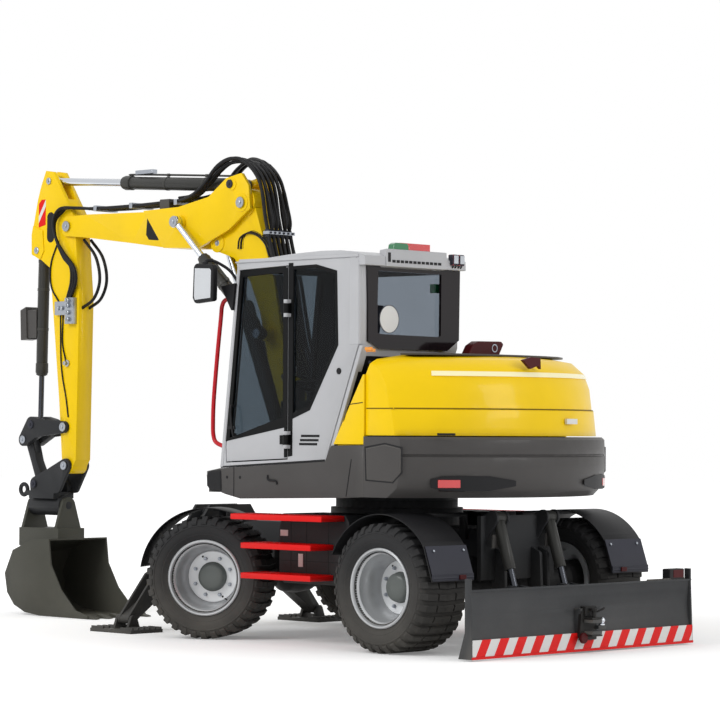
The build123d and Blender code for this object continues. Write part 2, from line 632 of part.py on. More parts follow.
BLADE_CYL = (BLADE_CYL_TOP, BLADE_CYL_PIN, 400.0, BLADE_CYL_R, 26.0, BLADE_EYE_HALF, 46.0)
for node, is_rod in (("blade_barrels", False), ("blade_rods", True)):
    base, tip, length, radius, rod, eye_half, eye_r = BLADE_CYL
    with BuildPart() as ram:
        for _, side in SIDES:
            if is_rod:
                rod_solid(base, tip, side * BLADE_CYL_Y, 250, radius, rod, eye_half, eye_r)
            else:
                barrel_solid(base, tip, side * BLADE_CYL_Y, length, radius, rod, eye_half, eye_r)
    ram.part.label = node
    export_step(ram.part, f"parts/{node}.step")

# ================================================================ outriggers
LEG_CYL_LENGTH = 450.0
LEG_CYL_R = 36.0
LEG_ROD_R = 20.0
for name, side in SIDES:
    pivot, foot, lug = [(side * y, z) for y, z in (LEG_PIVOT, LEG_FOOT, LEG_CYL_PIN)]
    with BuildPart() as leg:
        for x_low in (LEG_X - LEG_HALF, LEG_X + LEG_HALF - LEG_PLATE):
            with BuildSketch(Plane.YZ.offset(x_low)):
                for at, radius in ((pivot, 55), (foot, 38), (lug, 50)):
                    with Locations(at):
                        Circle(radius)
                make_hull()
            extrude(amount=LEG_PLATE)
        with BuildSketch(Plane.YZ.offset(LEG_X - LEG_HALF + 1)):
            for at, radius in ((foot, 36), ((side * 620, 392), 30)):
                with Locations(at):
                    Circle(radius)
            make_hull()
        extrude(amount=2 * LEG_HALF - 2)
        bar_x(pivot, 42, LEG_X - LEG_HALF + 1, LEG_X + LEG_HALF - 1)
        bar_x(pivot, PIN_R * 0.8 + FIT, LEG_X - LEG_HALF - 1, LEG_X + LEG_HALF + 1, mode=Mode.SUBTRACT)
        bar_x(foot, 18 + FIT, LEG_X - LEG_HALF - 1, LEG_X + LEG_HALF + 1, mode=Mode.SUBTRACT)
    leg.part.label = f"outrigger_{name}"
    export_step(leg.part, f"parts/outrigger_{name}.step")

    with BuildPart() as pad:
        across = sorted((foot[0] - PAD_W / 2, foot[0] + PAD_W / 2))
        block((LEG_X - PAD_L / 2, LEG_X + PAD_L / 2), across, (0, 28))
        for row in range(6):
            y_mid = foot[0] - PAD_W / 2 + 20 + row * (PAD_W - 40) / 5
            for x_span in ((LEG_X - PAD_L / 2, LEG_X - LEG_HALF - 40),
                           (LEG_X + LEG_HALF + 40, LEG_X + PAD_L / 2)):
                block(x_span, (y_mid - 8, y_mid + 8), (27, 46))
        for x_low in (LEG_X - LEG_HALF - GAP - 25, LEG_X + LEG_HALF + GAP):
            with BuildSketch(Plane.YZ.offset(x_low)):
                for at, radius in ((foot, 36), ((foot[0] - 60, 28), 5), ((foot[0] + 60, 28), 5)):
                    with Locations(at):
                        Circle(radius)
                make_hull()
            extrude(amount=25)
        bar_x(foot, 18, LEG_X - LEG_HALF - GAP - 25, LEG_X + LEG_HALF + GAP + 25)
    pad.part.label = f"outrigger_pad_{name}"
    export_step(pad.part, f"parts/outrigger_pad_{name}.step")

    base = (side * LEG_CYL_TOP[0], LEG_CYL_TOP[1])
    with BuildPart() as ram:
        barrel_solid(base, lug, 0, LEG_CYL_LENGTH, LEG_CYL_R, LEG_ROD_R, 30, 34, plane="yz", x_at=LEG_X)
    ram.part.label = f"outrigger_barrel_{name}"
    export_step(ram.part, f"parts/outrigger_barrel_{name}.step")
    with BuildPart() as ram:
        rod_solid(base, lug, 0, 345, LEG_CYL_R, LEG_ROD_R, 30, 32, plane="yz", x_at=LEG_X)
    ram.part.label = f"outrigger_rod_{name}"
    export_step(ram.part, f"parts/outrigger_rod_{name}.step")

# ================================================================ upper machine
NOSE_OUT = NOSE_IN + NOSE_T
with BuildPart() as upper_frame:
    with BuildSketch(Plane.XY.offset(RING_TOP + FIT)):
        Circle(RING_R)
    extrude(amount=DECK_TOP - RING_TOP - FIT)
    half = BODY_HALF - SKIRT_T
    deck([(BODY_FRONT - SKIRT_T, -half), (BODY_FRONT - SKIRT_T, half), (SEAM_X, half),
          (SEAM_X, BODY_HALF - WEIGHT_SIDE),
          (WEIGHT_WALL_X, BODY_HALF - WEIGHT_SIDE), (WEIGHT_WALL_X, WEIGHT_SIDE - BODY_HALF),
          (SEAM_X, WEIGHT_SIDE - BODY_HALF), (SEAM_X, -half)], DECK_LOW, DECK_TOP)
    for _, side in SIDES:
        near, far = sorted((side * NOSE_IN, side * NOSE_OUT))
        slab([(-450, 1170), (-420, 1330), (320, 1330), (640, 1590), (730, 1635), (860, 1635), (960, 1530),
              (1190, 1290), (1235, 1180), (1180, 1105), (700, 1105), (600, DECK_LOW)], near, far)
        # rubber mounts under the cab
        if side > 0:
            for x_at, y_at in ((-200, 330), (-200, 1020), (620, 330), (620, 1020)):
                with BuildSketch(Plane.XY.offset(DECK_TOP - 1)):
                    with Locations((x_at, y_at)):
                        Circle(45)
                extrude(amount=cab_bottom_z(x_at + 45) - FIT - DECK_TOP + 1)
    pin(BOOM_FOOT, PIN_R + 8, -NOSE_OUT - 18, NOSE_OUT + 18)
    pin(LIFT_FOOT, PIN_R, -NOSE_OUT - 8, NOSE_OUT + 8)
    block((600, 690), (-NOSE_IN - 1, NOSE_IN + 1), (1160, 1400))
    # bulkhead between the cab and the engine, with the hood's hinge brackets
    wall_half = BODY_HALF - WEIGHT_SIDE
    block((BULKHEAD_X, BULKHEAD_X + 15), (-wall_half, wall_half), (DECK_TOP - 1, 2010))
    block((-830, BULKHEAD_X + 1), (-wall_half, wall_half), (1995, 2010))
    for _, side in SIDES:
        for across in (-25, 10 + GAP):
            near = side * HOOD_HINGE_Y + across
            hull_plate([(*HOOD_HINGE, 20), (-745, 2005, 8), (-820, 2005, 8)], near, near + 10)
        pin(HOOD_HINGE, HOOD_PIN_R, side * HOOD_HINGE_Y - 25, side * HOOD_HINGE_Y + 25)
    for _, side in SIDES:
        near, far = sorted((side * (LIFT_BARREL_R + 4), side * (NOSE_IN + 1)))
        pin(LIFT_FOOT, EYE_R, near, far)
upper_frame.part.label = "upper_frame"
export_step(upper_frame.part, "parts/upper_frame.step")

LAMP_Y = BODY_HALF - 316
LAMP_Z = 1242.0
LAMP_HALF = 85.0
LAMP_TALL = 38.0
with BuildPart() as counterweight:
    with BuildSketch(Plane.XZ):
        with BuildLine():
            Polyline((700, WEIGHT_LOW), (TAIL_R - 90, WEIGHT_LOW), (TAIL_R - 25, WEIGHT_LOW + 70),
                     (TAIL_R, WEIGHT_LOW + 200), (TAIL_R, 1440), (TAIL_R - 14, 1447), (TAIL_R - 14, 1455),
                     (TAIL_R, 1462), (TAIL_R - 4, WEIGHT_TOP - 20), (TAIL_R - 26, WEIGHT_TOP),
                     (700, WEIGHT_TOP), close=True)
        make_face()
    revolve(axis=Axis.Z)
    deck([(-TAIL_R - 50, -BODY_HALF), (-TAIL_R - 50, BODY_HALF), (SEAM_X, BODY_HALF), (SEAM_X, -BODY_HALF)],
         WEIGHT_LOW - 50, WEIGHT_TOP + 50, mode=Mode.INTERSECT)
    side_in = BODY_HALF - WEIGHT_SIDE
    block((WEIGHT_WALL_X, SEAM_X + 100), (-side_in, side_in), (WEIGHT_LOW - 50, WEIGHT_TOP + 50),
          mode=Mode.SUBTRACT)
    for _, side in SIDES:
        lamp_x = -sqrt((TAIL_R - 5) ** 2 - LAMP_Y ** 2)
        out = Vector(lamp_x, side * LAMP_Y, 0).normalized()
        recess = Plane(origin=(lamp_x, side * LAMP_Y, LAMP_Z), x_dir=(-out.Y, out.X, 0),
                       z_dir=(out.X, out.Y, 0))
        with BuildSketch(recess.offset(-60)):
            RectangleRounded(2 * LAMP_HALF + 60, 2 * LAMP_TALL + 30, 20)
        extrude(amount=120, mode=Mode.SUBTRACT)
counterweight.part.label = "counterweight"
export_step(counterweight.part, "parts/counterweight.step")

with BuildPart() as engine:
    block((WEIGHT_WALL_X + 35, BULKHEAD_X - 8), (-500, 500), (1260, 1850))
    for x_at in (WEIGHT_WALL_X + 85, BULKHEAD_X - 58):
        for y_at in (-300, 300):
            block((x_at - 40, x_at + 40), (y_at - 40, y_at + 40), (DECK_TOP, 1261))
engine.part.label = "engine"
export_step(engine.part, "parts/engine.step")


def hood_profile(inset):
    """Half section of the hood about the swing axis, as (radius, z)."""
    low = WEIGHT_TOP + HOOD_GAP - (1 if inset else 0)
    return [(0, low), (HOOD_R - inset, low), (HOOD_R - 20 - inset, 1790), (HOOD_R - 34 - inset, 1800),
            (HOOD_R - 52 - inset, 1960), (HOOD_R - 95 - inset, 2080),
            (HOOD_R - 190 - inset * 0.8, 2165 - inset * 0.8),
            (HOOD_R - 420, 2208 - inset), (0, 2222 - inset)]


HOOD_FRONT = [
    (SEAM_X - GAP, 1500), (SEAM_X - GAP, 2055), (-850, 2213), (-862, 2400), (-1800, 2400), (-1800, 1500),
]
with BuildPart() as hollow:
    with BuildSketch(Plane.XZ):
        with BuildLine():
            Polyline(*hood_profile(HOOD_T), close=True)
        make_face()
    revolve(axis=Axis.Z)
    slab([(-400, 1500), (-400, 2400), (-1800, 2400), (-1800, 1500)], HOOD_T - HOOD_HALF, HOOD_HALF - HOOD_T,
         mode=Mode.INTERSECT)
with BuildPart() as hood:
    with BuildSketch(Plane.XZ):
        with BuildLine():
            Polyline(*hood_profile(0), close=True)
        make_face()
    revolve(axis=Axis.Z)
    slab(HOOD_FRONT, -HOOD_HALF, HOOD_HALF, mode=Mode.INTERSECT)
    add(hollow.part, mode=Mode.SUBTRACT)
    for _, side in SIDES:
        near, far = side * HOOD_HINGE_Y - 10, side * HOOD_HINGE_Y + 10
        hull_plate([(*HOOD_HINGE, 20), (-860, 2185, 8), (-920, 2185, 8)], near, far)
        pin(HOOD_HINGE, HOOD_PIN_R + FIT, near - 1, far + 1, mode=Mode.SUBTRACT)
hood.part.label = "hood"
export_step(hood.part, "parts/hood.step")

with BuildPart() as side_panels:
    for _, side in SIDES:
        near, far = sorted((side * (HOOD_HALF - HOOD_T), side * (HOOD_HALF + 15)))
        slab([(-440, WEIGHT_TOP - 60), (SEAM_X, WEIGHT_TOP - 60), (SEAM_X, 2050), (-745, 2050)], near, far)
        # foot that ties the panel to the deck, inside the skirt
        near, far = sorted((side * (HOOD_HALF - HOOD_T), side * (BODY_HALF - SKIRT_T - FIT)))
        block((SEAM_X + 10, -470), (near, far), (DECK_TOP, WEIGHT_TOP - 59))
    # storage and tank housing on the right
    slab([(-600, DECK_TOP), (880, DECK_TOP), (905, 1500), (700, 1840), (560, 1900), (-300, 1900),
          (-560, 1980), (-600, 1980)], HOOD_T - HOOD_HALF, -270)
    block((SEAM_X, -599), (HOOD_T - HOOD_HALF, 2 * HOOD_T - HOOD_HALF), (DECK_TOP, 1980))
side_panels.part.label = "side_panels"
export_step(side_panels.part, "parts/side_panels.step")

with BuildPart() as skirts:
    for _, side in SIDES:
        near, far = sorted((side * (BODY_HALF - SKIRT_T), side * BODY_HALF))
        slab([(BODY_FRONT, 1195), (BODY_FRONT, 1312), (CAB_LOW[0][0], CAB_LOW[0][1] - 4),
              (CAB_LOW[1][0] - 4, CAB_LOW[1][1] - 4), (-425, 1520), (SEAM_X, 1525), (SEAM_X, WEIGHT_LOW),
              (-573, 1131), (561, 1104), (730, 1136)], near, far)
    block((BODY_FRONT - SKIRT_T, BODY_FRONT), (NOSE_OUT + 25, BODY_HALF - SKIRT_T), (1150, 1312))
    block((BODY_FRONT - SKIRT_T, BODY_FRONT), (SKIRT_T - BODY_HALF, -NOSE_OUT - 25), (1150, 1312))
skirts.part.label = "skirts"
export_step(skirts.part, "parts/skirts.step")

# ================================================================ cab
CAB_SIDE = [CAB_LOW[0], (609, CAB_TOP), (-700, CAB_TOP), (-690, 2268), CAB_LOW[1]]
CAB_RIGHT = (60.0, 215.0)    # y of the right wall at the rear and at the front
CAB_SPAN = (-720.0, 800.0)


def cab_right_y(x):
    """y of the cab's right wall at x."""
    share = (x - CAB_SPAN[0]) / (CAB_SPAN[1] - CAB_SPAN[0])
    return CAB_RIGHT[0] + share * (CAB_RIGHT[1] - CAB_RIGHT[0])


def cab_front_x(z):
    """x of the windscreen's plane at z."""
    (low_x, low_z), (high_x, high_z) = CAB_SIDE[:2]
    return low_x + (z - low_z) / (high_z - low_z) * (high_x - low_x)


def cab_body(wall):
    """Outer form of the cab, or with a wall the space inside its walls."""
    outline = CAB_SIDE
    if wall:
        top, floor = CAB_TOP - CAB_CEILING, CAB_FLOOR + FLOOR_T
        rear_x = CAB_LOW[1][0] - (floor - CAB_LOW[1][1]) * 0.388
        outline = [(cab_front_x(floor) - wall, floor), (cab_front_x(top) - wall, top), (-700 + wall, top),
                   (-690 + wall, 2268 + wall * 0.2), (rear_x + wall * 1.08, floor)]
    slab(outline, 0, CAB_LEFT - wall)
    plan = [(CAB_SPAN[0], CAB_RIGHT[0] + wall), (CAB_SPAN[1], CAB_RIGHT[1] + wall),
            (CAB_SPAN[1], CAB_LEFT + 50), (CAB_SPAN[0], CAB_LEFT + 50)]
    deck(plan, CAB_LOW[0][1] - 50, CAB_TOP + 50, mode=Mode.INTERSECT)


DOOR = [(60, 1420), (722, 1390), (728, 1500), (578, CAB_TOP - 63), (60, CAB_TOP - 47)]
SIDE_WINDOW = [
    (12, 1715), (12, CAB_TOP - 45), (-250, CAB_TOP - 40), (-470, CAB_TOP - 95), (-486, 2271), (-189, 1785),
]
REAR_WINDOW = (130.0, CAB_LEFT - 110, 2300.0, CAB_TOP - 57)     # y and z spans
FRONT_WINDOW = (285.0, CAB_LEFT - 75, 1520.0, CAB_TOP - 65)
RIGHT_WINDOW = (-560.0, 500.0, 1780.0, CAB_TOP - 85)    # x and z spans
FLOOR_T = 40.0
CAB_CEILING = 30.0
SEAT_BASE = 1590.0
with BuildPart() as cabin:
    cab_body(CAB_WALL)
with BuildPart() as cab_shell:
    cab_body(0)
    add(cabin.part, mode=Mode.SUBTRACT)
    # openings of the door and of the windows
    with BuildSketch(Plane.XZ.offset(-CAB_LEFT - 5)):
        with BuildLine():
            Polyline(*DOOR, close=True)
        make_face()
        offset(amount=DOOR_GAP, kind=Kind.INTERSECTION)
    extrude(amount=CAB_WALL + 10, mode=Mode.SUBTRACT)
    slab(SIDE_WINDOW, CAB_LEFT - CAB_WALL - 5, CAB_LEFT + 5, mode=Mode.SUBTRACT)
    y_low, y_high, z_low, z_high = REAR_WINDOW
    block((-740, -600), (y_low, y_high), (z_low, z_high), mode=Mode.SUBTRACT)
    y_low, y_high, z_low, z_high = FRONT_WINDOW
    block((540, 820), (y_low, y_high), (z_low, z_high), mode=Mode.SUBTRACT)
    x_low, x_high, z_low, z_high = RIGHT_WINDOW
    block((x_low, x_high), (0, 260), (z_low, z_high), mode=Mode.SUBTRACT)
    # hinge eyes and pins of the door
    for height in DOOR_HINGES_Z:
        for z_low, z_high in ((height - 66, height - 40 - FIT), (height + 40 + FIT, height + 66)):
            block((DOOR_HINGE[0] - 22, DOOR_HINGE[0] + 5), (CAB_LEFT - 1, DOOR_HINGE[1]), (z_low, z_high))
            with BuildSketch(Plane.XY.offset(z_low)):
                with Locations(DOOR_HINGE):
                    Circle(22)
            extrude(amount=z_high - z_low)
        with BuildSketch(Plane.XY.offset(height - 66)):
            with Locations(DOOR_HINGE):
                Circle(9)
        extrude(amount=132)
    # consoles, steering column and the seat's base on the floor
    block((380, 560), (640, 720), (CAB_FLOOR + FLOOR_T - 1, 1560))
    slab([(400, 1550), (540, 1550), (425, 2008), (370, 2008)], 650, 710)
    with Locations(Plane((392, 680, 2010), x_dir=(0, 1, 0), z_dir=(-0.45, 0, 1)).location):
        Torus(150, 14)
    with Locations(Plane((392, 680, 2010), x_dir=(0, 1, 0), z_dir=(-0.45, 0, 1)).location):
        Box(290, 24, 16)
    block((-280, 180), (470, 890), (CAB_FLOOR + FLOOR_T - 1, SEAT_BASE))
    for y_low, y_high in ((330, 440), (920, 1030)):
        block((-200, 260), (y_low, y_high), (CAB_FLOOR + FLOOR_T - 1, 1860))
cab_shell.part.label = "cab_shell"
export_step(cab_shell.part, "parts/cab_shell.step")

with BuildPart() as cab_roof:
    with BuildSketch(Plane.XY.offset(CAB_TOP)):
        with BuildLine():
            Polyline((-735, 40), (640, 185), (640, CAB_LEFT + 8), (-735, CAB_LEFT + 8), close=True)
        make_face()
        fillet(vertices(), 60)
    extrude(amount=ROOF_T, taper=22)
    # bar with the air slots over the rear window
    block((-765, -701), (240, CAB_LEFT - 260), (CAB_TOP - 63, CAB_TOP + 60))
cab_roof.part.label = "cab_roof"
export_step(cab_roof.part, "parts/cab_roof.step")

DOOR_GLASS = [(97, 1725), (700, 1560), (556, CAB_TOP - 101), (97, CAB_TOP - 83)]
with BuildPart() as cab_door:
    slab(DOOR, CAB_LEFT - CAB_WALL, CAB_LEFT)
    slab(DOOR_GLASS, CAB_LEFT - CAB_WALL - 5, CAB_LEFT + 5, mode=Mode.SUBTRACT)
    for height in DOOR_HINGES_Z:
        block((DOOR_HINGE[0], DOOR_HINGE[0] + 60), (CAB_LEFT + 3, CAB_LEFT + 18), (height - 30, height + 30))
        block((DOOR_HINGE[0] + 24, DOOR_HINGE[0] + 60), (CAB_LEFT - 1, CAB_LEFT + 4),
              (height - 30, height + 30))
        with BuildSketch(Plane.XY.offset(height - 40)):
            with Locations(DOOR_HINGE):
                Circle(22)
        extrude(amount=80)
        with BuildSketch(Plane.XY.offset(height - 41)):
            with Locations(DOOR_HINGE):
                Circle(9 + FIT)
        extrude(amount=82, mode=Mode.SUBTRACT)
cab_door.part.label = "cab_door"
export_step(cab_door.part, "parts/cab_door.step")

with BuildPart() as door_glass:
    slab(DOOR_GLASS, CAB_LEFT - GLASS_IN - GLASS_T, CAB_LEFT - GLASS_IN)
door_glass.part.label = "door_glass"
export_step(door_glass.part, "parts/door_glass.step")

with BuildPart() as cab_glass:
    slab(SIDE_WINDOW, CAB_LEFT - GLASS_IN - GLASS_T, CAB_LEFT - GLASS_IN)
    y_low, y_high, z_low, z_high = REAR_WINDOW
    block((-690 + GLASS_IN, -690 + GLASS_IN + GLASS_T), (y_low, y_high), (z_low, z_high))
    y_low, y_high, z_low, z_high = FRONT_WINDOW
    outer_low, outer_high = cab_front_x(z_low) - GLASS_IN, cab_front_x(z_high) - GLASS_IN
    slab([(outer_low, z_low), (outer_high, z_high), (outer_high - GLASS_T, z_high),
          (outer_low - GLASS_T, z_low)], y_low, y_high)
    x_low, x_high, z_low, z_high = RIGHT_WINDOW
    wall_low, wall_high = cab_right_y(x_low) + GLASS_IN, cab_right_y(x_high) + GLASS_IN
    deck([(x_low, wall_low), (x_high, wall_high), (x_high, wall_high + GLASS_T),
          (x_low, wall_low + GLASS_T)], z_low, z_high)
cab_glass.part.label = "cab_glass"
export_step(cab_glass.part, "parts/cab_glass.step")

with BuildPart() as seat:
    block((-290, 200), (450, 910), (SEAT_BASE + FIT, 1700))
    slab([(-300, 1690), (-180, 1700), (-300, 2360), (-420, 2350)], 460, 900)
    slab([(-330, 2345), (-270, 2355), (-300, 2600), (-380, 2590)], 560, 800)
seat.part.label = "seat"
export_step(seat.part, "parts/seat.step")

# ---------------------------------------------------------------- lamps, handrail, mirror
with BuildPart() as lamps:
    for _, side in SIDES:
        lamp_x = -sqrt((TAIL_R - 5) ** 2 - LAMP_Y ** 2)
        out = Vector(lamp_x, side * LAMP_Y, 0).normalized()
        recess = Plane(origin=(lamp_x, side * LAMP_Y, LAMP_Z), x_dir=(-out.Y, out.X, 0),
                       z_dir=(out.X, out.Y, 0))
        with BuildSketch(recess.offset(-60)):
            RectangleRounded(2 * LAMP_HALF, 2 * LAMP_TALL, 12)
        extrude(amount=35)
    # beacon and work lamps over the rear window
    with BuildSketch(Plane.XY.offset(CAB_TOP + 60)):
        with Locations((-728, CAB_LEFT - 548)):
            RectangleRounded(60, 350, 20)
    extrude(amount=60)
    for y_at in (130, 200):
        block((-795, -745), (y_at - 28, y_at + 28), (CAB_TOP - 25, CAB_TOP + 55))
        block((-746, -700.3), (y_at - 8, y_at + 8), (CAB_TOP - 25, CAB_TOP - 5))
lamps.part.label = "lamps"
export_step(lamps.part, "parts/lamps.step")

RAIL_R = 14.0
CAB_SPACE = [(cab_front_x(z), z) for z in (1300, 3000)] + [(0, 3000), (0, 1300)]
with BuildPart() as handrail:
    with BuildLine():
        FilletPolyline((625, 1130, 2640), (690, 1130, 2620), (806, 1130, 1593), (762, 1130, 1520), radius=35)
    with BuildSketch(Plane(origin=(625, 1130, 2640), z_dir=(65, 0, -20))):
        Circle(RAIL_R)
    sweep()
    slab(CAB_SPACE, 1000, 1250, mode=Mode.SUBTRACT)
handrail.part.label = "handrail"
export_step(handrail.part, "parts/handrail.step")

with BuildPart() as mirror_left:
    with BuildLine():
        FilletPolyline((628, 1125, 2780), (700, 1180, 2890), (830, 1290, 2935), radius=40)
    with BuildSketch(Plane(origin=(628, 1125, 2780), z_dir=(72, 55, 110))):
        Circle(11)
    sweep()
    with Locations(Plane((845, 1300, 2785), x_dir=(0.3, 1, 0), z_dir=(0.05, 0, 1)).location):
        Box(190, 60, 300)
    slab(CAB_SPACE, 1000, 1250, mode=Mode.SUBTRACT)
mirror_left.part.label = "mirror_left"
export_step(mirror_left.part, "parts/mirror_left.step")

# ================================================================ boom
LIFT_EYE_HALF = 46.0
LOBE_IN = LIFT_EYE_HALF + 6
LOWER_SIDE = [
    (715, 1560), (1165, 2270), (1288, 2852), (1396, 3143), (1515, 3465), (1750, 3540), (1765, 3350),
    (1950, 3262), (2032, 3185), (1965, 3120), (1765, 3059), (1572, 2862), (1450, 2600), (1350, 2200),
    (1185, 1760), (880, 1430),
]
with BuildPart() as boom_lower:
    slab(LOWER_SIDE, -LOWER_HALF, LOWER_HALF)
    pin(BOOM_FOOT, 105, -NOSE_IN + GAP, NOSE_IN - GAP)
    pin(BOOM_FOOT, PIN_R + 8 + FIT, -NOSE_IN, NOSE_IN, mode=Mode.SUBTRACT)
    pin(KNEE, 118, -KNEE_HALF, KNEE_HALF)
    pin(LIFT_PIN, 74, -LOWER_HALF, LOWER_HALF)
    pin(KNEE, PIN_R + 8 + FIT, -KNEE_HALF - 1, KNEE_HALF + 1, mode=Mode.SUBTRACT)
    # slot for the lift cylinder's rod eye
    slab([(1740, 3262), (2100, 3290), (2100, 3000), (1700, 2950)], -LOBE_IN, LOBE_IN, mode=Mode.SUBTRACT)
    # pins of the adjusting cylinders
    pin(ADJUST_BASE, 60, ADJUST_BARREL_R + GAP - ADJUST_Y, ADJUST_Y - ADJUST_BARREL_R - GAP)
    pin(ADJUST_BASE, PIN_R, -ADJUST_Y - 42, ADJUST_Y + 42)
boom_lower.part.label = "boom_lower"
export_step(boom_lower.part, "parts/boom_lower.step")

# ---------------------------------------------------------------- hoses behind the lower boom
HOSE_R = 16.0
HOSE_PITCH = 50.0
HOSES = 6
HOSE_BEND = 150.0
HOSE_RUN = [(808, 1837), (1106, 2307), (1216, 2862), (1308, 3110), (1385, 3400), (1440, 3690), (1600, 3850)]
# middle of each rail that holds the hoses, end of its brackets on the boom (x, z)
RAILS = [(1345, 3250, 1460), (1235, 2912, 1330)]
RAIL_HALF = (30.0, 13.0)     # half its depth and half its height
BRACKET_Y = (80.0, 92.0)
with BuildPart() as boom_hoses:
    for k in range(HOSES):
        across = (k - (HOSES - 1) / 2) * HOSE_PITCH
        with BuildLine(Plane.XZ.offset(-across)) as run:
            FilletPolyline(*HOSE_RUN, radius=HOSE_BEND)
        with BuildSketch(Plane(origin=run.line @ 0, z_dir=run.line % 0)) as section:
            Circle(HOSE_R)
        sweep(section.sketch, path=run.line)
    reach = (HOSES * HOSE_PITCH) / 2 + 4
    for x, z, wall in RAILS:
        deep, high = RAIL_HALF
        block((x - deep, x + deep), (-reach, reach), (z - high, z + high))
        for _, side in SIDES:
            near, far = sorted((side * BRACKET_Y[0], side * BRACKET_Y[1]))
            block((x, wall), (near, far), (z - high, z + high))
    # block at the lower end
    slab([(777, 1818), (817, 1883), (850, 1862), (810, 1797)], -reach, reach)
    slab([(777, 1818), (817, 1883), (911, 1831), (868, 1764)], -LOWER_HALF + 15, LOWER_HALF - 15)
    add(boom_lower.part, mode=Mode.SUBTRACT)
boom_hoses.part.label = "boom_hoses"
export_step(boom_hoses.part, "parts/boom_hoses.step")

UPPER_REAR = [
    (1523, 3459), (1548, 3650), (1633, 3754), (1813, 3722), (2031, 3577), (2401, 3512), (2845, 3501),
    (2587, 3174), (2150, 3156), (1785, 3290),
]
UPPER_FRONT = [
    (2300, 3518), (2845, 3494), (3660, 3512), (3660, 3312), (3036, 3235), (2590, 3176), (2300, 3200),
]
TIP_IN = ARM_HALF + GAP
SLOT_X = 2235.0              # end of the space between the cheeks for the lower boom
with BuildPart() as boom_upper:
    slab(UPPER_REAR, -CHEEK_OUT, CHEEK_OUT)
    slab(UPPER_FRONT, -UPPER_HALF, UPPER_HALF)
    block((1400, SLOT_X), (-CHEEK_IN, CHEEK_IN), (3000, 3900), mode=Mode.SUBTRACT)
    for _, side in SIDES:
        near, far = sorted((side * TIP_IN, side * UPPER_HALF))
        slab([(3640, 3510), (3900, 3508), (3900, 3332), (3640, 3310)], near, far)
        pin(ARM_PIVOT, 88, near, far)
        near, far = sorted((side * (CHEEK_OUT - 1), side * (ADJUST_Y - 28 - FIT)))
        pin(ADJUST_PIN, 58, near, far)
        near, far = sorted((side * (ARM_BARREL_R + 3), side * (CHEEK_IN + 1)))
        pin(ARM_CYL_BASE, 46, near, far)
    pin(KNEE, PIN_R + 8, -CHEEK_OUT - 14, CHEEK_OUT + 14)
    pin(ARM_CYL_BASE, PIN_R, -CHEEK_OUT - 8, CHEEK_OUT + 8)
    pin(ARM_PIVOT, PIN_R + 4, -UPPER_HALF - 12, UPPER_HALF + 12)
boom_upper.part.label = "boom_upper"
export_step(boom_upper.part, "parts/boom_upper.step")

ARM_SIDE = [
    (4137, 3918), (4234, 3932), (4300, 3800), (4345, 3677), (4424, 3368), (4420, 3189), (4308, 3150),
    (4168, 3063), (4092, 2422), (4031, 1891), (3990, 1400), (3980, 1300), (3850, 1300), (3800, 1364),
    (3769, 2768), (3835, 3440), (3859, 3519),
]
ARM_EAR_IN = 46.0
NECK_IN = 56.0
with BuildPart() as arm:
    slab(ARM_SIDE, -ARM_HALF, ARM_HALF)
    pin(ARM_END, 72, -ARM_HALF, ARM_HALF)
    pin(ARM_PIVOT, PIN_R + 4 + FIT, -ARM_HALF - 1, ARM_HALF + 1, mode=Mode.SUBTRACT)
    pin(ARM_END, PIN_R + FIT, -ARM_HALF - 1, ARM_HALF + 1, mode=Mode.SUBTRACT)
    # fork for the arm cylinder's rod eye and for the base of the bucket cylinder
    slab([(3800, 3668), (4500, 3668), (4500, 4000), (3800, 4000)], -ARM_EAR_IN, ARM_EAR_IN,
         mode=Mode.SUBTRACT)
    slab([(4250, 3310), (4500, 3310), (4500, 2950), (4250, 2950)], -NECK_IN, NECK_IN, mode=Mode.SUBTRACT)
    pin(BUCKET_CYL_BASE, PIN_R, -ARM_HALF - 8, ARM_HALF + 8)
    pin(ROCKER_PIN, PIN_R, -ARM_HALF - 34, ARM_HALF + 34)
arm.part.label = "arm"
export_step(arm.part, "parts/arm.step")

# ---------------------------------------------------------------- bucket linkage
ROCKER_IN = ARM_HALF + GAP
ROCKER_OUT = ROCKER_IN + 24
EAR_IN = 46.0
with BuildPart() as rocker:
    for _, side in SIDES:
        near, far = sorted((side * ROCKER_IN, side * ROCKER_OUT))
        hull_plate([(*ROCKER_PIN, 52), (4300, 1640, 75)], near, far)
        near, far = sorted((side * EAR_IN, side * ROCKER_OUT))
        hull_plate([(4290, 1655, 70), (*BUCKET_CYL_PIN, 70), (*LINK_TOP, 58)], near, far)
    # web that joins the two sides behind the arm
    pin((4262, 1700), 24, -EAR_IN - 1, EAR_IN + 1)
    for _, side in SIDES:
        near, far = sorted((side * (ROCKER_IN - 1), side * (ROCKER_OUT + 1)))
        pin(ROCKER_PIN, PIN_R + FIT, near, far, mode=Mode.SUBTRACT)
rocker.part.label = "rocker"
export_step(rocker.part, "parts/rocker.step")

LINK_HALF = 44.0
BUCKET_EYE_HALF = 25.0       # half width of the rod eye of the bucket cylinder
LINK_IN = BUCKET_EYE_HALF + GAP
with BuildPart() as link:
    hull_plate([(*LINK_TOP, 46), (4420, 1340, 34)], -LINK_HALF, LINK_HALF)
    hull_plate([(4420, 1340, 34), (*LINK_LOW, 46)], -LINK_HALF, LINK_HALF)
    pin(LINK_LOW, PIN_R + FIT, -LINK_HALF - 1, LINK_HALF + 1, mode=Mode.SUBTRACT)
    # fork that lets the bucket cylinder's eye pass
    slab([(4300, 1420), (4620, 1420), (4620, 1700), (4300, 1700)], -LINK_IN, LINK_IN, mode=Mode.SUBTRACT)
link.part.label = "link"
export_step(link.part, "parts/link.step")

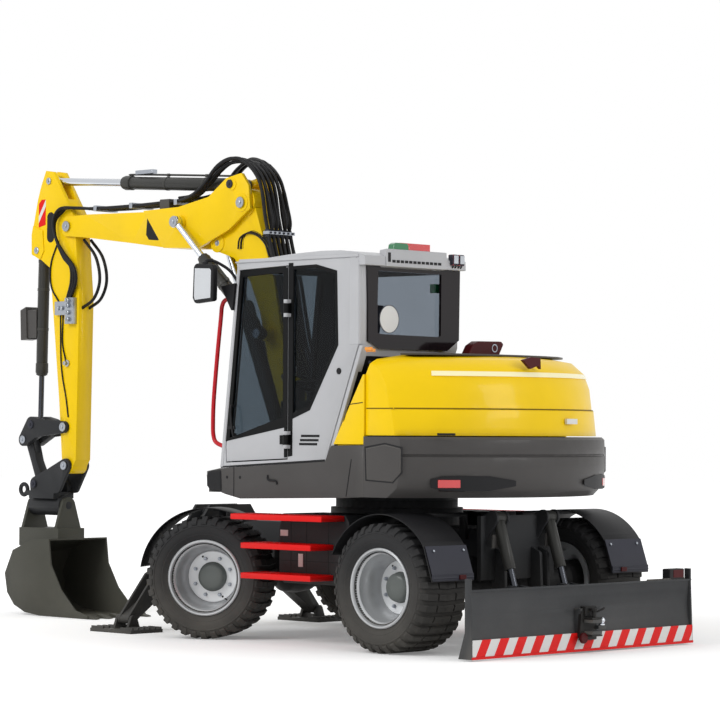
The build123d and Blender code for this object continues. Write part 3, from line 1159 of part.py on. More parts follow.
COUPLER_IN = ARM_HALF + GAP
COUPLER_OUT = COUPLER_IN + 28
with BuildPart() as coupler:
    for _, side in SIDES:
        near, far = sorted((side * COUPLER_IN, side * COUPLER_OUT))
        hull_plate([(*ARM_END, 62), (4020, 1120, 50), (4120, 1260, 30)], near, far)
        near, far = sorted((side * EAR_IN, side * COUPLER_OUT))
        hull_plate([(4110, 1110, 50), (4150, 1260, 20), (*LINK_LOW, 60), (4330, 1100, 50)], near, far)
        near, far = sorted((side * COUPLER_IN, side * COUPLER_OUT))
        hull_plate([(4020, 1120, 50), (4110, 1110, 50), (4120, 1260, 30)], near, far)
    # saddle over the tilt motor, the tilt motor and the lifting hook
    block((4060, 4400), (-COUPLER_OUT, COUPLER_OUT), (TILT_Z + 60, TILT_Z + 118))
    bar_x((0, TILT_Z), TILT_R, *TILT_X)
    for x_low, x_high in ((TILT_X[0] - 34, TILT_X[0] + 1), (TILT_X[1] - 1, TILT_X[1] + 34)):
        bar_x((0, TILT_Z), 34, x_low, x_high)
    slab([(4380, 1085), (4380, 1035), (4470, 1035), (4560, 1045), (4590, 1060), (4560, 1085)], -22, 22)
    with Locations(Plane((4608, 0, 1092), x_dir=(1, 0, 0), z_dir=(0, -1, 0)).location):
        Torus(48, 18)
    pin(ARM_END, PIN_R, -COUPLER_OUT - 8, COUPLER_OUT + 8)
    pin(LINK_LOW, PIN_R, -COUPLER_OUT - 8, COUPLER_OUT + 8)
coupler.part.label = "coupler"
export_step(coupler.part, "parts/coupler.step")

BUCKET_SIDE = [
    (3858, 677), (4090, 662), (4351, 566), (4460, 359), (4425, 190), (4330, 85), (4180, 25), (3980, 4),
    (3488, 3), (3330, 3), (3335, 32), (3500, 70), (3691, 241), (3828, 452),
]
BUCKET_HOLLOW = [
    (3862, 663), (4086, 648), (4342, 554), (4445, 357), (4411, 196), (4321, 98), (4175, 39), (3980, 18),
    (3488, 17), (3250, 17), (3250, 40), (3400, 330), (3700, 640),
]
with BuildPart() as bucket:
    slab(BUCKET_SIDE, -BUCKET_HALF, BUCKET_HALF)
    slab(BUCKET_HOLLOW, BUCKET_T - BUCKET_HALF, BUCKET_HALF - BUCKET_T, mode=Mode.SUBTRACT)
    # teeth along the lip
    for row in range(5):
        y_mid = (row - 2) * (BUCKET_HALF - 40) / 2
        slab([(3400, 3), (3250, 3), (3252, 12), (3400, 40)], y_mid - 28, y_mid + 28)
    # adapter with the two end plates that hold the tilt motor
    slab([(3950, 655), (3950, 760), (4490, 760), (4490, 600), (4351, 560), (4090, 655)], -150, 150)
    for x_low in (TILT_X[0] - 34, TILT_X[1] + FIT):
        with BuildSketch(Plane.YZ.offset(x_low)):
            with Locations((0, TILT_Z)):
                Circle(74)
            with Locations((-130, 740), (130, 740)):
                Circle(15)
            make_hull()
        extrude(amount=34 - FIT)
        bar_x((0, TILT_Z), 34 + FIT, x_low - 1, x_low + 35, mode=Mode.SUBTRACT)
bucket.part.label = "bucket"
export_step(bucket.part, "parts/bucket.step")

# ---------------------------------------------------------------- cylinders of the boom
# node stem, base pin, eye pin, middle y values, barrel length, barrel radius, rod radius,
# half widths of the base eye and of the rod's eye, eye radius
RAMS = [
    ("lift", LIFT_FOOT, LIFT_PIN, (0,), 1630.0, LIFT_BARREL_R, 38.0, LIFT_EYE_HALF, LIFT_EYE_HALF, 60.0),
    ("adjust", ADJUST_BASE, ADJUST_PIN, (-ADJUST_Y, ADJUST_Y), 950.0, ADJUST_BARREL_R, 27.0, 28.0, 28.0,
     50.0),
    ("arm", ARM_CYL_BASE, ARM_CYL_PIN, (0,), 1506.0, ARM_BARREL_R, 34.0, 43.0, 43.0, 50.0),
    ("bucket", BUCKET_CYL_BASE, BUCKET_CYL_PIN, (0,), 1110.0, BUCKET_BARREL_R, 24.0, 43.0,
     BUCKET_EYE_HALF, 48.0),
]
PISTON_AT = {"lift": 1425.0, "adjust": 480.0, "arm": 1260.0, "bucket": 520.0}
for stem, base, tip, across_at, length, radius, rod, base_half, eye_half, eye_r in RAMS:
    many = "s" if len(across_at) > 1 else ""
    with BuildPart() as ram:
        for middle in across_at:
            barrel_solid(base, tip, middle, length, radius, rod, base_half, eye_r)
    ram.part.label = f"{stem}_barrel{many}"
    export_step(ram.part, f"parts/{stem}_barrel{many}.step")
    with BuildPart() as ram:
        for middle in across_at:
            rod_solid(base, tip, middle, PISTON_AT[stem], radius, rod, eye_half, eye_r)
    ram.part.label = f"{stem}_rod{many}"
    export_step(ram.part, f"parts/{stem}_rod{many}.step")
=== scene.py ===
"""Looks of the wheeled excavator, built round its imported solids. Metres, +X forward, +Y left, +Z up."""
from math import cos, pi, radians, sin

import bmesh
import bpy
from mathutils import Matrix, Vector


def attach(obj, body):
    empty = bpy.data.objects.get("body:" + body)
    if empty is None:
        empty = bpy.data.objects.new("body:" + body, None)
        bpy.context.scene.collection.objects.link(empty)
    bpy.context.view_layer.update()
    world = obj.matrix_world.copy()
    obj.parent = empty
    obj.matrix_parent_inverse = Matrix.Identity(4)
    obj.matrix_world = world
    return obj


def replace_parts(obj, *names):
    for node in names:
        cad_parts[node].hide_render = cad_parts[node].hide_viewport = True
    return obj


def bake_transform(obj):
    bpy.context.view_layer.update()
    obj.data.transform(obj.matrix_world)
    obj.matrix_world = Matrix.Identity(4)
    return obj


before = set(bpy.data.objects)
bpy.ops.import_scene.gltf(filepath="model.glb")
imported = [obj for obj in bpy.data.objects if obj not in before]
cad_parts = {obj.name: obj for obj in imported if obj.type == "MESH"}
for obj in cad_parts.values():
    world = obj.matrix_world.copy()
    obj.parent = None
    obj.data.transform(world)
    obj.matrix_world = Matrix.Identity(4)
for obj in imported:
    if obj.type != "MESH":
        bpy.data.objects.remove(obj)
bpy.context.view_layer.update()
SIDES = {"left": 1, "right": -1}
BOTH = tuple(SIDES.values())

# ---- materials
# INSIDE_SHADE is painted shade, the dark colour given to surfaces inside the cab
DUST, INSIDE_SHADE = (150, 144, 132), (22, 22, 24)
DUST_TOP = 0.75
PALE_PANES_X = -0.62


def srgb(*levels):
    """Linear colour of an 8-bit sRGB one."""
    return [((v / 255 + 0.055) / 1.055) ** 2.4 if v > 10 else v / 255 / 12.92 for v in levels] + [1.0]


def fill(tree, target, inputs):
    """Set a node's inputs, and link those whose value is another node's output."""
    for key, value in inputs.items():
        if isinstance(value, bpy.types.NodeSocket):
            tree.links.new(value, target.inputs[key])
        else:
            target.inputs[key].default_value = value


def node(tree, kind, inputs=None, **properties):
    """Outputs of a new shader node."""
    made = tree.nodes.new("ShaderNode" + kind)
    for key, value in properties.items():
        setattr(made, key, value)
    fill(tree, made, inputs or {})
    return made.outputs


def number(tree, operation, *inputs):
    """One number worked out from others."""
    return node(tree, "Math", dict(enumerate(inputs)), operation=operation)["Value"]


def vector(tree, operation, *inputs):
    """One vector worked out from others."""
    return node(tree, "VectorMath", dict(enumerate(inputs)), operation=operation)["Vector"]


def spread(tree, value, start, end, low, high, **properties):
    """A number carried from the range start to end over to the range low to high."""
    inputs = {"Value": value, "From Min": start, "From Max": end, "To Min": low, "To Max": high}
    return node(tree, "MapRange", inputs, **properties)["Result"]


def mixed(tree, share, first, second):
    """A colour between two others."""
    return node(tree, "Mix", {0: share, "A": first, "B": second}, data_type="RGBA")["Result"]


def new_material(name):
    """An empty material, and its node tree."""
    mat = bpy.data.materials.new(name)
    mat.use_nodes = True
    return mat, mat.node_tree


def material(name, colour, rough=0.45, metal=0.0, coat=0.0, grain=90.0, bump=0.05, vary=0.1, dust=0.0,
        wear=None, spec=0.18, shade_box=None):
    """Painted, cast or moulded surface with varied colour and gloss, worn edges and a fine grain, and
    painted shade on what lies inside a given box.
    """
    mat, tree = new_material(name)
    place = node(tree, "TexCoord")["Object"]
    cloud = node(tree, "TexNoise", {"Vector": place, "Scale": 2.3, "Detail": 6.0, "Roughness": 0.62})["Fac"]
    fine = node(tree, "TexNoise", {"Vector": place, "Scale": grain, "Detail": 4.0})["Fac"]
    tone = spread(tree, cloud, 0.3, 0.7, 1 - vary, 1 + vary * 0.4)
    last = node(tree, "VectorMath", {0: srgb(*colour)[:3], "Scale": tone}, operation="SCALE")["Vector"]
    if wear:
        edge = spread(tree, node(tree, "NewGeometry")["Pointiness"], 0.56, 0.66, 0.0, 0.55)
        last = mixed(tree, edge, last, srgb(*wear))
    if dust:
        height = node(tree, "SeparateXYZ", {"Vector": place})["Z"]
        patch = number(tree, "MULTIPLY", spread(tree, height, DUST_TOP, 0.0, 0.0, dust), cloud)
        last = mixed(tree, patch, last, srgb(*DUST))
    # painted shade: surfaces inside the box turn dark, standing in for the dim light inside the cab
    if shade_box:
        middle, half = shade_box
        reach = vector(tree, "ABSOLUTE", vector(tree, "SUBTRACT", place, middle))
        room = node(tree, "SeparateXYZ", {"Vector": vector(tree, "SUBTRACT", half, reach)})
        least = number(tree, "MINIMUM", number(tree, "MINIMUM", room["X"], room["Y"]), room["Z"])
        last = mixed(tree, number(tree, "GREATER_THAN", least, 0.0), last, srgb(*INSIDE_SHADE))
    fill(tree, tree.nodes["Principled BSDF"], {"Base Color": last, "Metallic": metal, "Coat Weight": coat,
        "Coat Roughness": 0.08, "Specular IOR Level": spec, "Roughness": spread(tree, fine, 0.0, 1.0,
        rough * 0.8, min(1.0, rough * 1.25)), "Normal": node(tree, "Bump",
        {"Strength": bump, "Distance": 0.002, "Height": fine})["Normal"]})
    return mat


def glass(name, tint, clear, rear):
    """Tinted pane: most light passes straight through, with a paler tint at the rear."""
    mat, tree = new_material(name)
    place = node(tree, "TexCoord")["Object"]
    wave = node(tree, "TexNoise", {"Vector": place, "Scale": 1.6, "Detail": 2.0})["Fac"]
    ripple = node(tree, "Bump", {"Strength": 0.04, "Distance": 0.01, "Height": wave})["Normal"]
    face = tree.nodes["Principled BSDF"]
    fill(tree, face, {"Base Color": srgb(*tint), "Roughness": 0.02, "Specular IOR Level": 0.9,
        "Normal": ripple})
    behind = number(tree, "LESS_THAN", node(tree, "SeparateXYZ", {"Vector": place})["X"], PALE_PANES_X)
    see = node(tree, "BsdfTransparent", {"Color": mixed(tree, behind, srgb(*clear), srgb(*rear))})["BSDF"]
    share = spread(tree, wave, 0.0, 1.0, 0.82, 0.9)
    pane = node(tree, "MixShader", {"Fac": share, 1: face.outputs["BSDF"], 2: see})["Shader"]
    fill(tree, tree.nodes["Material Output"], {"Surface": pane})
    return mat


# box inside the cab whose surfaces get painted shade
CAB_INSIDE = ((0.03, 0.61, 2.14), (0.69, 0.515, 0.765))
YELLOW = material("yellow_paint", (246, 205, 0), 0.36, coat=0.12, vary=0.05, dust=0.05,
    wear=(235, 205, 70))
# painted highlight: a pale band standing in for the reflection of a long lamp along the hood's crease
CREASE_HIGHLIGHT = material("painted_highlight_band", (255, 246, 196), 0.25, coat=0.5, vary=0.03)
CAB_GREY = material("cab_grey_paint", (184, 185, 188), 0.4, coat=0.1, vary=0.05, dust=0.06,
    shade_box=CAB_INSIDE)
BODY_GREY = material("body_grey_paint", (72, 70, 69), 0.46, coat=0.05, dust=0.12,
    wear=(120, 118, 112))
FRAME_GREY = material("frame_grey_paint", (44, 45, 47), 0.5, vary=0.16, dust=0.25,
    wear=(90, 88, 84))
BLADE_GREY = material("blade_grey_paint", (56, 58, 61), 0.5, vary=0.12, dust=0.15,
    wear=(130, 126, 120))
BUCKET_GREY = material("bucket_paint", (70, 70, 63), 0.5, dust=0.15, wear=(140, 136, 126))
RED = material("red_paint", (224, 14, 14), 0.42, coat=0.08, vary=0.06, dust=0.05)
RAIL_RED = material("rail_red_paint", (186, 12, 28), 0.3, coat=0.2, vary=0.05)
RAM_GREY = material("ram_grey_paint", (54, 54, 52), 0.42, coat=0.06, vary=0.08, dust=0.12,
    wear=(100, 98, 92))
CHROME = material("chrome_rod", (200, 204, 210), 0.12, metal=1.0, bump=0.01, vary=0.03)
DARK_CHROME = material("dark_rod", (66, 68, 73), 0.22, metal=0.9, bump=0.01, vary=0.03)
STEEL = material("zinc_steel", (165, 170, 178), 0.34, metal=0.9, bump=0.06, vary=0.12, dust=0.1)
SILVER = material("rim_silver", (186, 188, 190), 0.32, metal=0.55, coat=0.2, vary=0.06,
    dust=0.12)
HUB_SILVER = material("hub_silver", (222, 224, 226), 0.35, metal=0.3, vary=0.06, dust=0.1)
CAP_GREY = material("hub_cap_grey", (98, 103, 101), coat=0.2, vary=0.08, dust=0.12)
RUBBER = material("tyre_rubber", (48, 48, 49), 0.72, grain=240, bump=0.25, vary=0.16, dust=0.35)
HOSE = material("hose_rubber", (22, 22, 24), 0.42, grain=300, bump=0.15)
BLACK = material("black_plastic", (26, 26, 28), 0.5, grain=420, bump=0.18, vary=0.08,
    dust=0.15)
TRIM = material("trim_black", (15, 16, 17), 0.4, grain=420, vary=0.05, spec=0.1)
# painted shade: a darker yellow standing in for the shade in the hood's groove
GROOVE_SHADE = material("painted_groove_shade", (118, 96, 4), 0.6, vary=0.05)
SLATE = material("slate_plastic", (52, 53, 62), 0.5, grain=420, bump=0.14, vary=0.08,
    dust=0.15)
DARK_RED = material("dark_red_plastic", (70, 10, 14), 0.4, grain=300, bump=0.08)
CLOTH = material("seat_cloth", (44, 46, 52), 0.85, grain=900, bump=0.5)
IRON = material("engine_iron", (64, 64, 64), 0.6, grain=160, bump=0.3, vary=0.2, dust=0.12)
WHITE = material("white_plate", (222, 222, 220), vary=0.04)
LAMP_RED = material("lamp_red", (214, 60, 62), 0.18, coat=0.8, grain=30, bump=0.2, vary=0.15,
    spec=0.5)
AMBER = material("lamp_amber", (238, 150, 20), 0.2, coat=0.7, grain=30, bump=0.2, spec=0.5)
GREEN = material("lamp_green", (20, 120, 70), 0.2, coat=0.7, grain=30, bump=0.2, spec=0.5)
LENS = material("lamp_clear", (190, 196, 204), 0.1, coat=1.0, grain=30, bump=0.3, vary=0.2,
    spec=0.5)
MIRROR = material("mirror_face", (205, 208, 212), 0.12, metal=0.4, vary=0.04)
DARK_GLASS = glass("dark_glass", (10, 12, 13), (198, 205, 210), (251, 251, 254))
DARK_BORDER = material("dark_border", (26, 20, 23), 0.12, coat=0.25, bump=0.0, vary=0.05)

# what each node is made of, with * for left and right
NODE_MATERIALS = {
    YELLOW: "boom_lower boom_upper arm side_panels hood",
    CAB_GREY: "cab_shell cab_door cab_roof",
    BODY_GREY: "counterweight skirts",
    FRAME_GREY: "chassis_frame rear_axle front_axle step_boxes upper_frame rocker link coupler knuckle_*"
        " outrigger_* outrigger_pad_*",
    BLADE_GREY: "blade", BUCKET_GREY: "bucket", RED: "steps", RAIL_RED: "handrail", IRON: "engine",
    CLOTH: "seat", HOSE: "boom_hoses", BLACK: "rear_fenders front_fender_* mirror_left", LAMP_RED: "lamps",
    RAM_GREY: "lift_barrel adjust_barrels arm_barrel bucket_barrel blade_barrels outrigger_barrel_*",
    CHROME: "lift_rod adjust_rods arm_rod", DARK_CHROME: "bucket_rod blade_rods outrigger_rod_*",
    DARK_GLASS: "door_glass cab_glass", RUBBER: "tyre_rear_* tyre_front_*", SILVER: "rim_rear_* rim_front_*",
}
EDGES_MM = {"chassis_frame": 6, "boom_lower": 7, "boom_upper": 7, "arm": 6, "counterweight": 10, "blade": 4,
        "bucket": 4, "cab_shell": 6, "cab_roof": 22, "steps": 5, "skirts": 5, "side_panels": 5,
        "step_boxes": 6}
USUAL_EDGE_MM = 2.5


def soften(obj, width):
    """Rounded edges: weld what the import split, then bevel the sharp edges."""
    obj.modifiers.new("weld", "WELD").merge_threshold = 0.00005
    bevel = obj.modifiers.new("bevel", "BEVEL")
    bevel.width = width
    bevel.segments = 2
    bevel.limit_method = "ANGLE"
    bevel.angle_limit = radians(35)
    bevel.harden_normals = True
    bevel.use_clamp_overlap = True


for finish, names in NODE_MATERIALS.items():
    for name in {name.replace("*", side): 0 for name in names.split() for side in SIDES}:
        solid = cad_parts[name]
        solid.data.materials.clear()
        solid.data.materials.append(finish)
        solid.data.shade_smooth()
        if finish not in (RUBBER, SILVER, DARK_GLASS):
            soften(solid, EDGES_MM.get(name, USUAL_EDGE_MM) / 1000)

# ---- shape tools
PLACES = {"x": lambda a, b, c: (c, a, b), "y": lambda a, b, c: (a, c, b), "z": lambda a, b, c: (a, b, c)}


def unit(axis):
    """Two directions at right angles to an axis and to each other."""
    axis = Vector(axis).normalized()
    helper = Vector((0, 0, 1)) if abs(axis.z) < 0.9 else Vector((1, 0, 0))
    first = helper.cross(axis).normalized()
    return first, axis.cross(first)


def turns(count):
    """Equal steps of angle round a circle."""
    return [2 * pi * i / count for i in range(count)]


def smooth(path, steps):
    """Points of a curve through a path."""
    ends = [path[0] * 2 - path[1]] + path + [path[-1] * 2 - path[-2]]
    out = []
    for i in range(1, len(ends) - 2):
        a, b, c, d = ends[i - 1:i + 3]
        for t in (k / steps for k in range(steps)):
            out.append(0.5 * (2 * b + (c - a) * t + (2 * a - 5 * b + 4 * c - d) * t * t
                    + (3 * b - 3 * c + d - a) * t ** 3))
    return out + [path[-1]]


class Shape:
    """Simple solids gathered into one mesh, in metres."""

    def __init__(self):
        self.points, self.faces = [], []

    def loft(self, rings, loop=False):
        """Skin over rings of equal length, closed at its ends or round on itself."""
        base, count = len(self.points), len(rings[0])
        self.points += [tuple(p) for ring in rings for p in ring]
        for low in range(len(rings) if loop else len(rings) - 1):
            one, two = base + low * count, base + (low + 1) % len(rings) * count
            for i in range(count):
                j = (i + 1) % count
                self.faces.append((one + i, one + j, two + j, two + i))
        if not loop:
            self.faces.append(tuple(reversed(range(base, base + count))))
            self.faces.append(tuple(range(len(self.points) - count, len(self.points))))
        return self

    def prism(self, outline, axis, low, high):
        """An outline between two planes: (y, z) along x, (x, z) along y or (x, y) along z."""
        return self.loft([[PLACES[axis](a, b, c) for a, b in outline] for c in (low, high)])

    def border(self, outer, inner, axis, low, high):
        """A flat frame between an outer and an inner outline with as many corners."""
        levels = ((outer, low), (outer, high), (inner, high), (inner, low))
        return self.loft([[PLACES[axis](a, b, c) for a, b in outline] for outline, c in levels], loop=True)

    def flanks(self, outline, near, far):
        """An (x, z) outline on both sides of the machine, between two distances from its middle."""
        for side in BOTH:
            self.prism(outline, "y", *sorted((side * near, side * far)))
        return self

    def box(self, x_span, y_span, z_span):
        """A box between two corners."""
        (a, b), (c, d) = x_span, y_span
        return self.prism([(a, c), (b, c), (b, d), (a, d)], "z", *z_span)

    def boxes(self, x_span, near, far, z_span):
        """A box on each side of the machine, between two distances from its middle."""
        for side in BOTH:
            self.box(x_span, sorted((side * near, side * far)), z_span)
        return self

    def turned(self, centre, axis, profile, sides=40, loop=False):
        """A solid of revolution from (radius, distance along the axis) pairs."""
        first, second = unit(axis)
        axis, centre = Vector(axis).normalized(), Vector(centre)
        rings = []
        for radius, along in profile:
            middle = centre + axis * along
            rings.append([middle + first * radius * cos(t) + second * radius * sin(t) for t in turns(sides)])
        return self.loft(rings, loop)

    def disc(self, centre, axis, radius, thick, sides=28, dome=0.0):
        """A round plate or pin end, with a small chamfer."""
        edge = min(radius, thick) * 0.25
        profile = [(radius, 0.0), (radius, thick - edge), (radius - edge, thick)]
        if dome:
            profile += [(radius * 0.6, thick + dome * 0.7), (radius * 0.2, thick + dome)]
        return self.turned(centre, axis, profile, sides)

    def discs(self, x, reach, z, radius, thick):
        """A round plate on each side of the machine."""
        for side in BOTH:
            self.disc((x, side * reach, z), (0, side, 0), radius, thick)
        return self

    def hexagon(self, centre, axis, radius, thick):
        """A bolt head or a nut."""
        return self.turned(centre, axis, [(radius, 0.0), (radius, thick * 0.8), (radius * 0.85, thick)], 6)

    def pipe(self, path, radius, sides=10, steps=8, sharp=False):
        """A round hose or bar along a smooth or straight-sided path."""
        path = [Vector(p) for p in path]
        spine = path if sharp else smooth(path, steps)
        first, _ = unit(spine[1] - spine[0])
        rings = []
        for i, point in enumerate(spine):
            along = (spine[min(i + 1, len(spine) - 1)] - spine[max(i - 1, 0)]).normalized()
            first = (first - along * first.dot(along)).normalized()
            second = along.cross(first)
            rings.append([point + (first * cos(t) + second * sin(t)) * radius for t in turns(sides)])
        return self.loft(rings)


def emit(shape, name, finish, body="upper", bevel=0.0, angle=38.0):
    """The gathered solids as one piece on a body, or left free when the body is None."""
    mesh = bpy.data.meshes.new(name)
    mesh.from_pydata(shape.points, [], shape.faces)
    work = bmesh.new()
    work.from_mesh(mesh)
    bmesh.ops.recalc_face_normals(work, faces=work.faces)
    work.to_mesh(mesh)
    work.free()
    mesh.materials.append(finish)
    mesh.shade_smooth()
    mesh.set_sharp_from_angle(angle=radians(angle))
    piece = bpy.data.objects.new(name, mesh)
    bpy.context.scene.collection.objects.link(piece)
    if bevel:
        soften(piece, bevel)
    if body:
        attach(piece, body)
    return piece


# ---- wheels
STEER_REST = radians(30)
REAR_AXLE, KING_PIN, WHEEL_FROM_PIN = (-1.0, 1.023), (1.14, 0.843), 0.18
TYRE_R, LUGS, LUG_LEAN = 0.479, 34, 0.1
CARCASS = [(0.205, 0.262), (0.213, 0.298), (0.226, 0.318), (0.238, 0.338), (0.238, 0.344), (0.242, 0.35),
    (0.2455, 0.38), (0.2455, 0.4), (0.2485, 0.403), (0.2485, 0.409), (0.2445, 0.414), (0.238, 0.432),
    (0.222, 0.449), (0.2, 0.459), (0.11, 0.461), (0.0, 0.462)]
LUG = [(0.249, 0.42, 0.241, 0.418), (0.2475, 0.434, 0.236, 0.43), (0.227, 0.458, 0.216, 0.446),
    (0.208, 0.4765, 0.195, 0.46), (0.15, 0.4785, 0.15, 0.462), (0.1, 0.4785, 0.1, 0.463)]
MIDDLE_LUG = [(0.084, 0.4785, 0.084, 0.463), (0.0, 0.4785, 0.0, 0.464), (-0.03, 0.4785, -0.03, 0.464)]
RIM = [(-0.225, 0.25), (-0.225, 0.294), (-0.213, 0.294), (-0.213, 0.262), (0.205, 0.262), (0.205, 0.29),
    (0.213, 0.297), (0.222, 0.296), (0.228, 0.288), (0.226, 0.279), (0.216, 0.272), (0.205, 0.269),
    (0.196, 0.268), (0.19, 0.263), (0.184, 0.253), (0.176, 0.248), (0.166, 0.25), (0.156, 0.249),
    (0.118, 0.238), (0.095, 0.226), (0.03, 0.221), (0.0, 0.213), (-0.012, 0.205), (-0.03, 0.205),
    (-0.03, 0.064), (-0.05, 0.064), (-0.05, 0.238), (-0.07, 0.25)]
FLANGE = [(0.066, -0.03), (0.202, -0.03), (0.202, -0.012), (0.197, -0.008), (0.066, -0.008)]
HUB_CAP = [(0.116, -0.009), (0.116, -0.004), (0.109, 0.0), (0.105, 0.036), (0.098, 0.046), (0.08, 0.055),
    (0.03, 0.058), (0.002, 0.058)]


def spun(centre, out, reach, radius, angle):
    """Point of a wheel at a distance out along its axle and a radius, at an angle round it."""
    ahead, upright = Vector((out.y, -out.x, 0)), Vector((0, 0, 1))
    return centre + out * reach + (ahead * cos(angle) + upright * sin(angle)) * radius


def tyre(name, body, centre, out):
    """Carcass with raised rings, and a tread of shoulder lugs with blocks between them."""
    half = [(radius, reach) for reach, radius in CARCASS]
    mirrored = [(radius, -reach) for radius, reach in reversed(half[:-1])]
    made = Shape().turned(centre, out, half + mirrored, 84, loop=True)
    for i in range(LUGS):
        at = 2 * pi * (i + 0.5) / LUGS
        for flank, lug, wide in ((1, LUG, 0.052), (-1, LUG, 0.052), (1, MIDDLE_LUG, 0.05),
                (-1, MIDDLE_LUG, 0.05)):
            root, tip = wide / 2 / TYRE_R * 1.1, wide / 2 / TYRE_R * 0.86
            rings = []
            for reach, high, under, low in lug:
                turn = at + (0.25 - reach) * LUG_LEAN
                corners = (under, low, -root), (under, low, root), (reach, high, tip), (reach, high, -tip)
                rings.append([spun(centre, out, flank * a, r, turn + t) for a, r, t in corners])
            made.loft(rings)
    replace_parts(emit(made, f"tread_{name}", RUBBER, body, angle=30), f"tyre_{name}")


def rim(name, body, centre, out):
    """Two-ring rim with its deep dish, the bright hub flange with nuts, and the grey cap."""
    dish = Shape().turned(centre, out, [(radius, reach) for reach, radius in RIM], 96, loop=True)
    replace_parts(emit(dish, f"dish_{name}", SILVER, body, angle=30), f"rim_{name}")
    emit(Shape().turned(centre, out, FLANGE, 72, loop=True), f"hub_flange_{name}", HUB_SILVER, body)
    nuts, hole_shades = Shape(), Shape()
    for i in range(8):
        at = spun(centre, out, -0.009, 0.152, radians(22.5 + 45 * i))
        nuts.hexagon(at, out, 0.0155, 0.018)
        nuts.disc(at, out, 0.0085, 0.028, 12)
    # black discs on the flange are painted shade standing in for its two holes
    for degrees in (62, 242):
        hole_shades.disc(spun(centre, out, -0.0085, 0.176, radians(degrees)), out, 0.0085, 0.0015, 14)
    emit(nuts, f"nuts_{name}", STEEL, body)
    emit(hole_shades, f"hub_hole_shades_{name}", BLACK, body)
    emit(Shape().turned(centre, out, HUB_CAP, 56), f"hub_cap_{name}", CAP_GREY, body, angle=30)
    valve = [spun(centre, out, 0.1, 0.228, 4.0), spun(centre, out, 0.125, 0.215, 4.0)]
    emit(Shape().pipe(valve, 0.005, 8, sharp=True), f"valve_{name}", BLACK, body)


for side_name, side in SIDES.items():
    straight = Vector((0, side, 0))
    steered = Vector((-sin(STEER_REST), cos(STEER_REST), 0)) * side
    rear_hub = Vector((REAR_AXLE[0], side * REAR_AXLE[1], TYRE_R))
    front_hub = Vector((KING_PIN[0], side * KING_PIN[1], TYRE_R)) + steered * WHEEL_FROM_PIN
    for end, centre, out in (("rear_", rear_hub, straight), ("front_", front_hub, steered)):
        tyre(end + side_name, "wheel_" + end + side_name, centre, out)
        rim(end + side_name, "wheel_" + end + side_name, centre, out)

# ---- blade: stripes, hitch, lamp box
BLADE_X, BLADE_HALF, BOARD_LOW, BOARD_HIGH = -1.93, 1.275, 0.102, 0.503
STRIPE, STRIPES_FROM, STRIPE_X = 0.0985, 1.235, -1.9415
HITCH_PIN, BALL_AT, BALL_R = (-2.015, 0.013, 0.262), (-1.975, -0.127, 0.198), 0.0258


def blade_x(z):
    """x of the board's rear face at z."""
    t = (z - BOARD_LOW) / (BOARD_HIGH - BOARD_LOW)
    return BLADE_X + 0.012 * t + 0.03 * 4 * t * (1 - t) * 0.92


def board_strip(shape, low_y, high_y, z_from, z_to, lean, rows=4):
    """A stripe on the board's curved rear face, leaning along it."""
    rings = []
    for i in range(rows + 1):
        z = z_from + (z_to - z_from) * i / rows
        x, shift = min(blade_x(max(z, BOARD_LOW)) - 0.0035, STRIPE_X), lean * (z - z_from)
        low, high = max(low_y + shift, 0.006 - BLADE_HALF), min(high_y + shift, BLADE_HALF - 0.006)
        high = max(high, low + 0.002)
        rings.append([(x, low, z), (x, high, z), (x + 0.014, high, z), (x + 0.014, low, z)])
    shape.loft(rings)


stripes_red, stripes_white = Shape(), Shape()
for i in range(27):
    low_y = STRIPES_FROM - i * STRIPE
    board_strip(stripes_red if i % 2 else stripes_white, low_y, low_y + STRIPE, 0.031, 0.15, -0.57)
emit(stripes_red, "blade_stripes_red", RED, "blade")
emit(stripes_white, "blade_stripes_white", WHITE, "blade")
emit(Shape().box((-1.9455, -1.936), (-BLADE_HALF, BLADE_HALF), (0.0125, 0.03)), "blade_edge_red", RED,
    "blade")
fringe = Shape()
for i in range(26):
    fringe.box((-1.921, -1.911), (-1.2 + i * 0.018, -1.191 + i * 0.018), (0.5025, 0.515))
emit(fringe, "blade_lip_teeth", BLADE_GREY, "blade")
hitch = Shape().box((-1.985, -1.935), (-0.055, 0.075), (0.275, 0.345))
hitch.prism([(-0.078, 0.1), (0.098, 0.1), (0.115, 0.135), (0.098, 0.31), (-0.072, 0.33)], "x", -1.968,
    -1.9395)
for plate_z in (0.252, 0.126):
    hitch.box((-2.05, -1.96), (-0.046, 0.072), (plate_z, plate_z + 0.012))
hitch.turned(HITCH_PIN, (0, 0, 1), [(0.016, 0), (0.016, 0.05), (0.028, 0.052), (0.028, 0.07)], 20)
hitch.pipe([(-1.99, -0.055, 0.3), (-2.02, -0.1, 0.33), (-1.985, -0.125, 0.318), (-1.958, -0.09, 0.3)], 0.007)
emit(hitch, "hitch_block", BLACK, "blade", bevel=0.004)
emit(Shape().disc((-1.99, 0.11, 0.115), (-1, 0, 0), 0.04, 0.02), "hitch_reflector", DARK_RED, "blade")
round_top = [(BALL_R * cos(t), 0.037 + BALL_R * sin(t)) for t in map(radians, range(-50, 90, 12))]
neck = [(0.024, 0.0), (0.024, 0.012), (0.015, 0.016), (0.014, 0.022)]
emit(Shape().turned(BALL_AT, (0, 0, 1), neck + round_top, 32), "tow_ball_cap", CHROME, "blade")
emit(Shape().box((-1.925, -1.9165), (-1.18, -1.055), (0.517, 0.578)), "blade_lamp_lens", DARK_RED, "blade",
    bevel=0.004)
emit(Shape().box((-1.922, -1.846), (-1.192, -1.012), (0.5, 0.5855)), "blade_lamp_box", BLACK, "blade",
    bevel=0.008)

